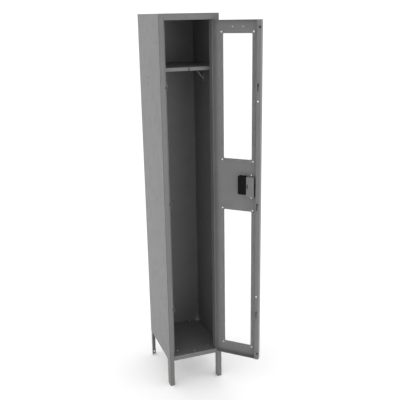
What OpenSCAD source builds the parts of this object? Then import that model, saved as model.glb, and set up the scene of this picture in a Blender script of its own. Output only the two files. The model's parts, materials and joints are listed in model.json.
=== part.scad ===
// Single-tier steel storage locker with a see-through door, a hat shelf and a lift-handle latch.
// Millimetres, +Z up. The origin is on the floor, in the middle of the footprint.
// The front faces -Y, the door is hinged on the +X side and is drawn standing open.
// Places along Y are given as depths behind the front face.

/* [Cabinet] */
// Overall width
cabinet_w = 304.8; // [250:0.1:420]
// Overall depth
cabinet_d = 381; // [300:0.1:620]
// Height of the body above the legs
body_h = 1828.8; // [1500:0.1:2200]
// Height of the legs under the body
leg_h = 152.4; // [80:0.1:250]

/* [Sheet steel] */
// Thickness of the side, back, top and bottom sheets and of the shelf
body_t = 0.9; // [0.7:0.1:1.5]
// Thickness of the uprights, rails and rear legs
frame_t = 1.5; // [1.2:0.1:2]
// Thickness of the door sheet
door_t = 1.5; // [1:0.1:2]
// Inside radius of a bend
bend_r = 0.8; // [0.5:0.1:1.5]
// Depth of the turned edges that join sheets
seam_w = 15; // [12:0.5:20]

/* [Frame] */
// Width of the front face of an upright
face_w = 26; // [22:0.1:36]
// Depth of the upright's flange along the side panel
side_flange_d = 43; // [40:0.1:60]
// Width of the strike behind the door
strike_w = 13; // [10:0.1:18]
// Height of the top rail's face
top_rail_h = 30.8; // [24:0.1:50]
// Height of the bottom rail's face
bottom_rail_h = 26; // [22:0.1:50]
// Depth of the bottom rail's shelf under the floor sheet
rail_shelf_d = 65; // [50:0.5:90]

/* [Rear legs] */
// Width of both flanges of a rear leg
rear_leg_w = 22; // [18:0.5:30]
// Diameter of the anchor hole
anchor_hole_d = 8; // [5:0.5:10]
// Height of the anchor hole above the floor
anchor_hole_z = 12.5; // [8:0.5:30]

/* [Shelf and hooks] */
// Distance from the top of the body to the shelf
shelf_drop = 253.2; // [150:0.1:400]
// Height of the shelf's turned edges
shelf_edge_h = 17.5; // [12:0.5:25]
// Width of the slot in the shelf's front edge
shelf_slot_w = 5; // [3:0.5:10]
// Distance of the coat hooks below the shelf
coat_hook_drop = 72; // [50:1:200]
// Depth of the coat hooks behind the front face
coat_hook_depth = 226; // [120:1:300]
// Diameter of the coat hook's rod
coat_hook_d = 6; // [4:0.5:8]
// Reach of the coat hook from the side panel
coat_hook_reach = 34; // [24:1:45]

/* [Door] */
// Depth of the door pan
door_d = 27; // [24:0.1:30]
// Gap between the door's latch edge and the upright
latch_gap = 1.5; // [1:0.1:3]
// Gap between the door's hinge edge and the upright
hinge_gap = 2.5; // [2.5:0.1:4]
// Gap between the door's top and bottom edges and the rails
end_gap = 2; // [1.5:0.1:4]
// Width of the lip of the lock channel
lip_w = 22; // [22:0.1:26]
// Depth of the turned edge on the lip
lip_edge_d = 5; // [3:0.1:6]
// Angle at which the door stands open
door_open = 136; // [90:1:170]

/* [Windows] */
// Width of the solid band between the windows and the door's latch edge
latch_band_w = 52.2; // [48:0.1:60]
// Width of the solid band between the windows and the door's hinge edge
hinge_band_w = 48.6; // [30:0.1:60]
// Height of the upper window opening
upper_window_h = 609.5; // [400:0.5:700]
// Height of the solid band between the windows
mid_band_h = 271.7; // [240:0.1:400]
// Height of the solid band over the upper window
head_band_h = 62.8; // [55:0.1:90]
// Height of the solid band under the lower window
sill_band_h = 64.6; // [50:0.1:90]
// Radius of the corners of the window openings
window_r = 4; // [2:0.5:10]
// Thickness of the clear panes
pane_t = 3; // [2:0.5:4]
// How far a pane laps over the sheet around its opening
pane_lap = 18; // [14:0.5:20]

/* [Handle] */
// Height of the middle of the recess above the middle of the solid band
recess_lift = 5; // [-40:1:40]
// Distance of the middle of the recess from the door's latch edge
recess_in = 96.4; // [90:0.1:110]
// Width of the recess cup
cup_w = 42; // [36:0.5:50]
// Height of the recess cup
cup_h = 95; // [85:0.5:110]
// Wall of the recess cup
cup_t = 1.5; // [1:0.1:2]
// Width of the rim of the cup on the front of the door
cup_rim = 8; // [6:0.5:12]
// Travel of the lift handle and the lock bar
lift_travel = 14; // [12:0.5:15]

/* [Lock] */
// Height of the lowest latch hook above the door's bottom edge
first_hook_up = 265; // [150:1:300]
// Distance of the highest latch hook below the door's top edge
last_hook_down = 312; // [250:1:350]
// Thickness of a latch hook
hook_t = 2.5; // [2:0.1:3]
// Width of the lock bar
bar_w = 17; // [15:0.1:18]
// Thickness of the lock bar
bar_t = 2; // [1.5:0.1:2.5]
// Width of the slots that the hooks pass through
slot_w = 7; // [6:0.1:8]
// Height of the slots in the lip of the lock channel
slot_h = 38; // [36:0.5:44]

/* [Hinges] */
// Height of one hinge
hinge_h = 50; // [40:1:80]
// Outer diameter of the knuckles
knuckle_d = 6; // [5:0.1:8]
// Diameter of the hinge pin
pin_d = 3; // [2.5:0.1:4]
// Thickness of the hinge leaves
leaf_t = 1; // [0.8:0.1:1.2]
// Radial clearance of the pin in the door's knuckles
pin_clear = 0.05; // [0.02:0.01:0.1]

/* [Fasteners] */
// Shank diameter of the rivets
rivet_d = 4; // [3:0.1:5]
// Head diameter of the rivets
rivet_head_d = 8; // [6:0.1:9]
// Height of the rivet heads
rivet_head_h = 1.4; // [0.8:0.1:1.6]

/* [Hidden] */

$fn = 48;
hair = 0.01;                      // lets a cut run past a face
slip = 0.3;                       // clearance between parts that pass one another
seat = 0.1;                       // radial clearance of a rivet in its hole

body_grey = "#8d8d8d";
frame_grey = "#777777";
steel = "#c9c9c9";
black = "#1c1c1c";

cabinet_h = body_h + leg_h;
half_w = cabinet_w / 2;
front_y = -cabinet_d / 2;
inner_x = half_w - body_t;        // inner face of a side panel
open_x = half_w - face_w;         // edge of the door opening
open_top = cabinet_h - top_rail_h;
open_bottom = leg_h + bottom_rail_h;
strike_x = open_x - strike_w;
back_in = cabinet_d - body_t;     // front face of the side panels' rear edge
back_face = back_in - body_t;     // front face of the back panel
back_edge_x = inner_x - bend_r - slip; // the back panel stops short of the side panels' bends
frame_x = half_w - body_t - frame_t;
flange_clear = side_flange_d + slip;

bumper_h = 3.2;                   // how far the rubber buttons stand out of the door
jamb_d = door_d + bumper_h + slip + frame_t;

shelf_z = cabinet_h - shelf_drop;
shelf_front = jamb_d + 1;
shelf_slot_x = 6;                 // the slot is this far right of the middle
shelf_rivets_at = [70, cabinet_d - 70];
floor_z = open_bottom - frame_t;  // top of the floor sheet

// Door, in the closed position
door_x0 = -open_x + latch_gap;
door_x1 = open_x - hinge_gap;
door_w = door_x1 - door_x0;
door_z0 = open_bottom + end_gap;
door_z1 = open_top - end_gap;
door_h = door_z1 - door_z0;
skin_in = door_t;                 // depth of the inner face of the door sheet
hinge_flange_d = door_d - 2;
end_flange_d = door_d - 3;
flange_notch = door_t + bend_r + 1;
lip_x1 = door_x0 + lip_w;

// Windows
lower_window_h = door_h - head_band_h - upper_window_h - mid_band_h - sill_band_h;
lower_window_z = door_z0 + sill_band_h;
upper_window_z = lower_window_z + lower_window_h + mid_band_h;
window_x0 = door_x0 + latch_band_w;
window_w = door_w - latch_band_w - hinge_band_w;
window_rivet_out = 8;             // from a corner of the opening to its rivet
band_mid = upper_window_z - mid_band_h / 2;

// Handle and cover
recess_x = door_x0 + recess_in;
handle_z = band_mid + recess_lift;
cup_d = door_d - 2;
arm_dz = -2;                      // from the middle of the cup to the middle of the arm
cover_gap = 1.5;
cover_x1 = recess_x - cup_w / 2 - cover_gap;
cover_x0 = lip_x1 + 10;
cover_h = 105;
cover_drop = 7;                   // the cover sits this much below the cup's middle
cover_t = 1.2;
cover_d = door_d - 4;
cover_tab = 12;
arm_t = 2.5;
arm_h = 24;
arm_clear = 1;

// Lock
bar_lip_gap = 5;                  // between the bar and the lip
bar_front = door_d - door_t - bar_lip_gap;
bar_back = bar_front - bar_t;
bar_x0 = door_x0 + door_t + 1;
hook_x = -strike_x + slip + hook_t / 2;  // middle of the hooks and of their slots
hook_arm_h = 10;
hook_nose_h = 8;
hook_nose_d = 5;
hook_base_h = 40;
hook_below_handle = 104.4;        // from the middle of the cup down to the middle hook
hook_arm_top = 2;                 // from the middle of a hook to the top of its arm
function hook_z(i) = [door_z0 + first_hook_up, handle_z - hook_below_handle, door_z1 - last_hook_down][i];
hook_rivet_x = -open_x + 6;
hook_rivet_dz = 12;
catch_gap = 1;                    // from the top of a hook's arm to the bar's web
bar_slot_h = catch_gap + hook_arm_h + lift_travel + arm_clear;
bar_end_gap = 25;
arm_back = bar_back - arm_t;
arm_x0 = bar_x0 + 3;
arm_x1 = recess_x - cup_w / 2 + 14;
bar_rivet_x = arm_x0 + 7;
handle_rivet_x = arm_x1 - 5;
link_rivet_dz = 6;
link_head_d = 7;
handle_plate_t = 3;

// Hinge
pin_x = open_x - hinge_gap / 2;
pin_depth = -knuckle_d / 2 - 0.2;
knuckles = 5;
knuckle_h = hinge_h / knuckles;
knuckle_gap = 0.3;
leaf_d = hinge_flange_d - 3;
leaf_start = 0.3;                 // depth of a leaf's front edge behind the front
pin_head_h = 1;

// Coat hooks
coat_hook_z = shelf_z - coat_hook_drop;
coat_plate_w = 16;
coat_plate_h = 40;
coat_plate_t = 2;
coat_rivet_dz = 13;
coat_tip_h = 30;                  // from the rod's level part to the middle of its ball
coat_run = 7;                     // the rod's level part
coat_ball_d = coat_hook_d + 2;

floor_front = 12;                 // depth of the floor sheet's front edge
floor_edge_h = 18;

// Rows of fasteners
side_rows = 8;
side_row_end = 129.6;             // from the body's top to the highest row
side_row_foot = 142;              // from the body's underside to the lowest row
side_row_pitch = (body_h - side_row_end - side_row_foot) / (side_rows - 1);
rear_leg_over = 18;               // how far a rear leg runs above the lowest row
back_rivet_in = 8;                // from a side of the body to the rivets of the back
function side_row_z(i) = cabinet_h - side_row_end - i * side_row_pitch;
hinge_end = 160;                  // from a door's end to the middle of its first hinge
function hinge_z(i) = door_z0 + hinge_end + i * (door_h - 2 * hinge_end) / 2;
rivet_line = side_flange_d - 6;   // depth of the rivets through an upright's flange
floor_rivet_x = half_w - 61.4;
floor_rivets_at = [[-floor_rivet_x, rail_shelf_d - 11], [floor_rivet_x, rail_shelf_d - 11], [0, 23]];
rear_floor_rivets_at = [[-floor_rivet_x, back_face - 10], [floor_rivet_x, back_face - 10]];
guide_zs = [hook_z(0) + 104, hook_z(2) - 66];
back_flange_d = 20;               // flange of the back panel under the floor sheet
back_flange_in = 25;              // from a side panel to the end of that flange
rail_flange_d = 20;               // turned edges of the rails over and under the opening
anchor_x = half_w - 13.8;

// The corners where a window's rivets go: [x, z] pairs.
function window_corners(z, h) = [
    for (sx = [0, 1], sz = [0, 1])
        [window_x0 + sx * window_w + (sx * 2 - 1) * window_rivet_out,
            z + sz * h + (sz * 2 - 1) * window_rivet_out]
];
all_window_corners = concat(
    window_corners(lower_window_z, lower_window_h),
    window_corners(upper_window_z, upper_window_h)
);

// Number plate
plate_x = (door_x0 + door_x1) / 2;
plate_w = 67;
plate_h = 25;
plate_t = 0.8;
plate_rivet_dx = 27;
plate_z = door_z1 - head_band_h / 2;

// Fasteners of the cup and of the cover, buttons and guides
cup_screw_dz = cup_h / 2 + cup_rim / 2 - 0.5;
cover_z = handle_z - cover_drop;
cover_rivet_x = (cover_x0 + cover_x1) / 2;
cover_rivet_dz = cover_h / 2 + cover_tab / 2;
bumper_x = door_x0 + 5.5;
bumper_zs = [door_z0 + 35, door_z1 - 34];
guide_x = hook_x;
guide_shank_d = 5;

// ---- Helpers ----

// Moves a part drawn with depths behind the front face to its place.
module at_front() {
    translate([0, front_y, 0]) children();
}

// Turns a part drawn on the closed door to the angle at which the door stands.
module on_door() {
    at_front()
        translate([pin_x, pin_depth, 0])
            rotate([0, 0, door_open])
                translate([-pin_x, -pin_depth, 0])
                    children();
}

// A box between two corners.
module box(low, high) {
    translate(low) cube(high - low);
}

// The flat outline of a sheet bent at right angles along a centre line.
module bent_outline(points, t) {
    last = len(points) - 1;
    function step(i) = (points[i + 1] - points[i]) / norm(points[i + 1] - points[i]);
    arc_r = bend_r + t / 2;
    for (i = [0 : last - 1]) {
        along = step(i);
        across = [-along[1], along[0]] * t / 2;
        from = points[i] + (i > 0 ? along * arc_r : [0, 0]);
        to = points[i + 1] - (i < last - 1 ? along * arc_r : [0, 0]);
        polygon([from - across, to - across, to + across, from + across]);
    }
    for (i = [1 : last - 1]) {
        before = step(i - 1);
        after = step(i);
        outer_r = bend_r + t;
        reach = outer_r + 1;
        translate(points[i] - before * arc_r + after * arc_r)
            intersection() {
                difference() {
                    circle(r = outer_r);
                    circle(r = bend_r);
                }
                polygon([[0, 0], before * reach, (before - after) * reach, -after * reach]);
            }
    }
}

// A bent sheet that stands upright: its outline is in plan.
module bent_upright(points, t, z0, z1) {
    translate([0, 0, z0])
        linear_extrude(height = z1 - z0)
            bent_outline(points, t);
}

// A bent sheet that runs across: its outline is in depth and height.
module bent_across(points, t, x0, x1) {
    translate([x0, 0, 0])
        rotate([90, 0, 90])
            linear_extrude(height = x1 - x0)
                bent_outline(points, t);
}

// A cylinder along Y, from one depth to another.
module pin_y(x, z, d, y0, y1) {
    translate([x, y0, z])
        rotate([-90, 0, 0])
            cylinder(d = d, h = y1 - y0);
}

// A cylinder along X, from one place to another.
module pin_x_dir(y, z, d, x0, x1) {
    translate([x0, y, z])
        rotate([0, 90, 0])
            cylinder(d = d, h = x1 - x0);
}

// A rivet along +Z with a low domed head at each end of its grip.
module rivet(grip, d = rivet_d, head_d = rivet_head_d, head_h = rivet_head_h) {
    rise = head_h * 0.55;
    rotate_extrude()
        polygon([
            [0, -head_h], [head_d * 0.22, -head_h], [head_d * 0.4, -rise], [head_d / 2, 0],
            [d / 2, 0], [d / 2, grip],
            [head_d / 2, grip], [head_d * 0.4, grip + rise], [head_d * 0.22, grip + head_h],
            [0, grip + head_h]
        ]);
}

module rivet_y(x, z, y0, y1) {
    translate([x, y0, z]) rotate([-90, 0, 0]) rivet(y1 - y0);
}

module rivet_x(y, z, x0, x1) {
    translate([x0, y, z]) rotate([0, 90, 0]) rivet(x1 - x0);
}

module hole_y(x, z, y0, y1) {
    pin_y(x, z, rivet_d + 2 * seat, y0 - 1, y1 + 1);
}

module hole_x(y, z, x0, x1) {
    pin_x_dir(y, z, rivet_d + 2 * seat, x0 - 1, x1 + 1);
}

// A rectangle with round corners, from its low corner.
module round_rect(w, h, r) {
    translate([r, 0]) square([w - 2 * r, h]);
    translate([0, r]) square([w, h - 2 * r]);
    for (x = [r, w - r], y = [r, h - r])
        translate([x, y]) circle(r = r);
}

// An upright slab with round corners, seen from the front.
module front_slab(x0, z0, w, h, r, y0, y1) {
    translate([x0, y1, z0])
        rotate([90, 0, 0])
            linear_extrude(height = y1 - y0)
                round_rect(w, h, r);
}

// ---- Body ----

module side_panel(side) {
    outer = side * (half_w - body_t / 2);
    seam = side * (half_w - seam_w);
    color(body_grey)
        at_front()
            difference() {
                bent_upright(
                    [[outer, 0], [outer, cabinet_d - body_t / 2], [seam, cabinet_d - body_t / 2]],
                    body_t, leg_h, cabinet_h
                );
                for (i = [0 : side_rows - 1]) {
                    hole_x(rivet_line, side_row_z(i), outer - 3, outer + 3);
                    hole_y(side * (half_w - back_rivet_in), side_row_z(i), back_in, cabinet_d);
                }
                for (y = shelf_rivets_at)
                    hole_x(y, shelf_z - shelf_edge_h / 2, outer - 3, outer + 3);
                coat_hook_holes(side);
            }
}

module back_panel() {
    color(body_grey)
        at_front()
            difference() {
                union() {
                    box([-back_edge_x, back_face, leg_h], [back_edge_x, back_in, cabinet_h]);
                    box([-inner_x + back_flange_in, back_face - back_flange_d, floor_z - 2 * body_t],
                        [inner_x - back_flange_in, back_face + hair, floor_z - body_t]);
                }
                for (i = [0 : side_rows - 1], side = [-1, 1])
                    hole_y(side * (half_w - back_rivet_in), side_row_z(i), back_face, back_in);
                for (at = rear_floor_rivets_at)
                    translate([at[0], at[1], floor_z - 3])
                        cylinder(d = rivet_d + 2 * seat, h = 6);
            }
}

module top_panel() {
    color(body_grey)
        at_front() {
            bent_panel(inner_x - body_t / 2, cabinet_h - body_t / 2, cabinet_h - seam_w, flange_clear, back_face);
            box([-inner_x, 0, cabinet_h - body_t], [inner_x, flange_clear + hair, cabinet_h]);
        }
}

// A sheet with both side edges turned down, between two depths.
module bent_panel(edge, top, low, y0, y1) {
    translate([0, y1, 0])
        rotate([90, 0, 0])
            linear_extrude(height = y1 - y0)
                bent_outline([[-edge, low], [-edge, top], [edge, top], [edge, low]], body_t);
}

module bottom_panel() {
    leg_bay = rear_leg_w + slip;
    color(body_grey)
        at_front()
            difference() {
                union() {
                    bent_panel(inner_x - body_t / 2, floor_z - body_t / 2, floor_z - floor_edge_h,
                        flange_clear, back_face);
                    box([-open_x + slip, floor_front, floor_z - body_t],
                        [open_x - slip, flange_clear + hair, floor_z]);
                }
                for (at = concat(floor_rivets_at, rear_floor_rivets_at))
                    translate([at[0], at[1], floor_z - 3])
                        cylinder(d = rivet_d + 2 * seat, h = 6);
                for (side = [-1, 1])
                    translate([side * inner_x - leg_bay, back_face - leg_bay, floor_z - floor_edge_h - 1])
                        cube([2 * leg_bay, leg_bay + 1, floor_edge_h + 2]);
            }
}

// ---- Frame ----

module upright(side) {
    outer = side * (inner_x - frame_t / 2);
    jamb = side * (open_x + frame_t / 2);
    color(frame_grey)
        at_front()
            difference() {
                bent_upright(
                    [
                        [outer, side_flange_d], [outer, frame_t / 2], [jamb, frame_t / 2],
                        [jamb, jamb_d - frame_t / 2], [side * strike_x, jamb_d - frame_t / 2]
                    ],
                    frame_t, 0, cabinet_h - body_t
                );
                // The strike stops at the rails.
                box([-open_x, jamb_d / 2, -1], [open_x, jamb_d + 1, open_bottom]);
                box([-open_x, jamb_d / 2, open_top], [open_x, jamb_d + 1, cabinet_h]);
                for (i = [0 : side_rows - 1])
                    hole_x(rivet_line, side_row_z(i), outer - 3, outer + 3);
                if (side < 0)
                    for (i = [0 : 2], dz = [-hook_rivet_dz, hook_rivet_dz])
                        hole_y(hook_rivet_x, hook_z(i) + dz, jamb_d - frame_t, jamb_d);
            }
}

module top_rail() {
    color(frame_grey)
        at_front()
            bent_across(
                [
                    [rail_flange_d, cabinet_h - body_t - frame_t / 2], [frame_t / 2, cabinet_h - body_t - frame_t / 2],
                    [frame_t / 2, open_top + frame_t / 2], [jamb_d, open_top + frame_t / 2]
                ],
                frame_t, -open_x, open_x
            );
}

module bottom_rail() {
    color(frame_grey)
        at_front()
            difference() {
                bent_across(
                    [
                        [rail_flange_d, leg_h + frame_t / 2], [frame_t / 2, leg_h + frame_t / 2],
                        [frame_t / 2, open_bottom - frame_t / 2], [rail_shelf_d, open_bottom - frame_t / 2]
                    ],
                    frame_t, -open_x, open_x
                );
                for (at = floor_rivets_at)
                    translate([at[0], at[1], open_bottom - 4])
                        cylinder(d = rivet_d + 2 * seat, h = 6);
            }
}

module rear_leg(side) {
    outer = side * (inner_x - frame_t / 2);
    color(frame_grey)
        at_front()
            difference() {
                bent_upright(
                    [
                        [outer, back_face - rear_leg_w], [outer, back_face - frame_t / 2],
                        [side * (inner_x - rear_leg_w), back_face - frame_t / 2]
                    ],
                    frame_t, 0, side_row_z(side_rows - 1) + rear_leg_over
                );
                pin_y(side * anchor_x, anchor_hole_z, anchor_hole_d, back_face - 4, back_face + 1);
                hole_y(side * (half_w - back_rivet_in), side_row_z(side_rows - 1), back_face - 3, back_face);
            }
}

// ---- Shelf and hooks ----

module hat_shelf() {
    edge = inner_x - body_t / 2;
    low = shelf_z - shelf_edge_h;
    front_w = frame_x - slip;
    color(body_grey)
        at_front()
            difference() {
                union() {
                    bent_panel(edge, shelf_z - body_t / 2, low, flange_clear, back_face - slip);
                    bent_across(
                        [
                            [flange_clear + 1, shelf_z - body_t / 2], [shelf_front + body_t / 2, shelf_z - body_t / 2],
                            [shelf_front + body_t / 2, low]
                        ],
                        body_t, -front_w, front_w
                    );
                }
                box([shelf_slot_x - shelf_slot_w / 2, shelf_front - 1, low - 1],
                    [shelf_slot_x + shelf_slot_w / 2, shelf_front + 3, shelf_z + 1]);
                for (y = shelf_rivets_at, side = [-1, 1])
                    hole_x(y, shelf_z - shelf_edge_h / 2, side * edge - 2, side * edge + 2);
            }
}

module coat_hook_holes(side) {
    for (dz = [-coat_rivet_dz, coat_rivet_dz])
        hole_x(coat_hook_depth, coat_hook_z + dz, side * half_w - 3, side * half_w + 3);
}

// A rod that leaves a wall plate level and rises to a ball.
module coat_hook(side) {
    rise_w = coat_hook_reach - coat_ball_d / 2 - coat_run;
    lean = atan2(coat_tip_h, rise_w);
    color(steel)
        at_front()
            difference() {
                translate([side * inner_x, coat_hook_depth, coat_hook_z])
                    mirror([side > 0 ? 1 : 0, 0, 0]) {
                        translate([0, -coat_plate_w / 2, -coat_plate_h / 2])
                            rotate([90, 0, 90])
                                linear_extrude(height = coat_plate_t)
                                    round_rect(coat_plate_w, coat_plate_h, 4);
                        rotate([0, 90, 0]) cylinder(d = coat_hook_d, h = coat_run);
                        translate([coat_run, 0, 0]) {
                            sphere(d = coat_hook_d);
                            rotate([0, 90 - lean, 0])
                                cylinder(d = coat_hook_d, h = norm([rise_w, coat_tip_h]));
                        }
                        translate([coat_run + rise_w, 0, coat_tip_h]) sphere(d = coat_ball_d);
                    }
                coat_hook_holes(side);
            }
}

// The hook on the frame: a base behind the strike and an arm that reaches into the lock channel.
module latch_hook(i) {
    z = hook_z(i);
    tip = bar_back - hook_nose_d - 1.5;
    top = z + hook_arm_top;
    arm_low = top - hook_arm_h;
    color(steel)
        at_front()
            difference() {
                union() {
                    box([-open_x, jamb_d, z - hook_base_h / 2], [hook_x + hook_t / 2, jamb_d + hook_t, z + hook_base_h / 2]);
                    translate([hook_x + hook_t / 2, 0, 0])
                        rotate([0, -90, 0])
                            linear_extrude(height = hook_t)
                                polygon([
                                    [arm_low, jamb_d + hook_t], [arm_low, tip + 3], [arm_low + 3, tip],
                                    [top + hook_nose_h - 3, tip], [top + hook_nose_h, tip + 3],
                                    [top + hook_nose_h, tip + hook_nose_d], [top, tip + hook_nose_d],
                                    [top, jamb_d + hook_t]
                                ]);
                }
                for (dz = [-hook_rivet_dz, hook_rivet_dz])
                    hole_y(hook_rivet_x, z + dz, jamb_d, jamb_d + hook_t);
            }
}

// ---- Hinges ----

// The bored knuckles of one leaf, counted from the bottom.
module knuckle_set(z, which, bore_d) {
    for (k = which)
        translate([pin_x, pin_depth, z - hinge_h / 2 + k * knuckle_h + knuckle_gap / 2])
            difference() {
                cylinder(d = knuckle_d, h = knuckle_h - knuckle_gap);
                translate([0, 0, -1]) cylinder(d = bore_d, h = knuckle_h + 2);
            }
}

// A flat leaf, with a neck that joins each of its knuckles.
module leaf(z, which, x0, bore_d) {
    box([x0, leaf_start, z - hinge_h / 2], [x0 + leaf_t, leaf_start + leaf_d, z + hinge_h / 2]);
    difference() {
        for (k = which)
            box([x0, pin_depth, z - hinge_h / 2 + k * knuckle_h + knuckle_gap / 2],
                [x0 + leaf_t, leaf_start + 1, z - hinge_h / 2 + (k + 1) * knuckle_h - knuckle_gap / 2]);
        translate([pin_x, pin_depth, z - hinge_h]) cylinder(d = bore_d, h = 2 * hinge_h);
    }
    knuckle_set(z, which, bore_d);
}

module hinge_frame_leaf(i) {
    color(frame_grey)
        at_front()
            leaf(hinge_z(i), [0, 2, 4], open_x - leaf_t, pin_d);
}

module hinge_door_leaf(i) {
    color(frame_grey)
        on_door()
            leaf(hinge_z(i), [1, 3], door_x1, pin_d + 2 * pin_clear);
}

module hinge_pin(i) {
    color(steel)
        at_front()
            translate([pin_x, pin_depth, hinge_z(i) - hinge_h / 2]) {
                cylinder(d = pin_d, h = hinge_h);
                translate([0, 0, hinge_h]) cylinder(d = knuckle_d - 1, h = pin_head_h);
                translate([0, 0, -pin_head_h]) cylinder(d = knuckle_d - 1, h = pin_head_h);
            }
}

// ---- Rivets of the body ----

module upright_rivets() {
    color(steel)
        at_front()
            for (i = [0 : side_rows - 1], side = [-1, 1])
                rivet_x(rivet_line, side_row_z(i),
                    side > 0 ? frame_x : -half_w, side > 0 ? half_w : -frame_x);
}

module back_rivets() {
    color(steel)
        at_front()
            for (i = [0 : side_rows - 1], side = [-1, 1])
                rivet_y(side * (half_w - back_rivet_in), side_row_z(i),
                    i == side_rows - 1 ? back_face - frame_t : back_face, cabinet_d);
}

module shelf_rivets() {
    color(steel)
        at_front()
            for (y = shelf_rivets_at, side = [-1, 1])
                rivet_x(y, shelf_z - shelf_edge_h / 2,
                    side > 0 ? inner_x - body_t : -half_w, side > 0 ? half_w : -inner_x + body_t);
}

module floor_rivets() {
    color(steel)
        at_front() {
            for (at = floor_rivets_at)
                translate([at[0], at[1], floor_z - body_t]) rivet(body_t + frame_t);
            for (at = rear_floor_rivets_at)
                translate([at[0], at[1], floor_z - 2 * body_t]) rivet(2 * body_t);
        }
}

module coat_hook_rivets() {
    color(steel)
        at_front()
            for (side = [-1, 1], dz = [-coat_rivet_dz, coat_rivet_dz])
                rivet_x(coat_hook_depth, coat_hook_z + dz,
                    side > 0 ? inner_x - coat_plate_t : -half_w,
                    side > 0 ? half_w : -inner_x + coat_plate_t);
}

module latch_hook_rivets() {
    color(steel)
        at_front()
            for (i = [0 : 2], dz = [-hook_rivet_dz, hook_rivet_dz])
                rivet_y(hook_rivet_x, hook_z(i) + dz, jamb_d - frame_t, jamb_d + hook_t);
}

// ---- Door ----

module door_panel() {
    mid = door_t / 2;
    hinge_edge = door_x1 - mid;
    latch_edge = door_x0 + mid;
    color(frame_grey)
        on_door()
            difference() {
                union() {
                    // Skin, hinge flange and lock channel, bent from one sheet
                    bent_upright(
                        [
                            [hinge_edge, hinge_flange_d], [hinge_edge, mid], [latch_edge, mid],
                            [latch_edge, door_d - mid], [lip_x1 - mid, door_d - mid],
                            [lip_x1 - mid, door_d - door_t - lip_edge_d]
                        ],
                        door_t, door_z0, door_z1
                    );
                    // Top and bottom flanges
                    for (z = [door_z0 + mid, door_z1 - mid])
                        box([lip_x1 + 2, mid, z - mid], [hinge_edge - flange_notch, end_flange_d, z + mid]);
                }
                for (w = [[lower_window_z, lower_window_h], [upper_window_z, upper_window_h]])
                    front_slab(window_x0, w[0], window_w, w[1], window_r, -1, door_t + 1);
                for (at = all_window_corners)
                    hole_y(at[0], at[1], 0, door_t);
                for (s = [-1, 1])
                    hole_y(plate_x + s * plate_rivet_dx, plate_z, 0, door_t);
                box([recess_x - cup_w / 2, -1, handle_z - cup_h / 2],
                    [recess_x + cup_w / 2, door_t + 1, handle_z + cup_h / 2]);
                for (s = [-1, 1]) {
                    hole_y(recess_x, handle_z + s * cup_screw_dz, 0, door_t);
                    hole_y(cover_rivet_x, cover_z + s * cover_rivet_dz, 0, door_t);
                }
                for (i = [0 : 2])
                    front_slab(hook_x - slot_w / 2, hook_z(i) - slot_h / 2, slot_w, slot_h,
                        2, door_d - door_t - 1, door_d + 1);
                for (z = guide_zs)
                    pin_y(guide_x, z, guide_shank_d, door_d - door_t - 1, door_d + 1);
                for (z = bumper_zs)
                    pin_y(bumper_x, z, rivet_d, door_d - door_t - 1, door_d + 1);
            }
}

// A clear pane, drilled for its rivets.
module pane(z, h) {
    color("#dfe8ea", 0.35)
        on_door()
            difference() {
                front_slab(window_x0 - pane_lap, z - pane_lap, window_w + 2 * pane_lap, h + 2 * pane_lap,
                    window_r, skin_in, skin_in + pane_t);
                for (at = window_corners(z, h))
                    hole_y(at[0], at[1], skin_in, skin_in + pane_t);
            }
}

module window_rivets() {
    color(steel)
        on_door()
            for (at = all_window_corners)
                rivet_y(at[0], at[1], 0, skin_in + pane_t);
}

module number_plate() {
    color(steel)
        on_door()
            difference() {
                front_slab(plate_x - plate_w / 2, plate_z - plate_h / 2, plate_w, plate_h, 3, -plate_t, 0);
                for (s = [-1, 1])
                    hole_y(plate_x + s * plate_rivet_dx, plate_z, -plate_t, 0);
            }
}

module number_plate_rivets() {
    color(steel)
        on_door()
            for (s = [-1, 1])
                translate([plate_x + s * plate_rivet_dx, -plate_t, plate_z])
                    rotate([-90, 0, 0])
                        rivet(plate_t + door_t, rivet_d, rivet_head_d - 2, rivet_head_h);
}

// The recess: a deep cup behind the sheet with a flat rim on its front.
module handle_cup() {
    slot_low = handle_z + arm_dz - arm_h / 2 - arm_clear;
    slot_high = handle_z + arm_dz + arm_h / 2 + lift_travel + arm_clear;
    color(black)
        on_door()
            difference() {
                union() {
                    front_slab(recess_x - cup_w / 2 - cup_rim, handle_z - cup_h / 2 - cup_rim,
                        cup_w + 2 * cup_rim, cup_h + 2 * cup_rim, 5, -cup_t, 0);
                    box([recess_x - cup_w / 2 + 0.2, -cup_t, handle_z - cup_h / 2 + 0.2],
                        [recess_x + cup_w / 2 - 0.2, cup_d, handle_z + cup_h / 2 - 0.2]);
                }
                box([recess_x - cup_w / 2 + cup_t, -cup_t - 1, handle_z - cup_h / 2 + cup_t],
                    [recess_x + cup_w / 2 - cup_t, cup_d - cup_t, handle_z + cup_h / 2 - cup_t]);
                box([recess_x - cup_w / 2 - 1, arm_back - 0.5, slot_low],
                    [recess_x - cup_w / 2 + cup_t + 1, arm_back + arm_t + 0.5, slot_high]);
                for (s = [-1, 1])
                    hole_y(recess_x, handle_z + s * cup_screw_dz, -cup_t, 0);
            }
}

module handle_cup_screws() {
    color(steel)
        on_door()
            for (s = [-1, 1])
                translate([recess_x, -cup_t, handle_z + s * cup_screw_dz])
                    rotate([-90, 0, 0])
                        rivet(cup_t + door_t, rivet_d, 7, 1.2);
}

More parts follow.
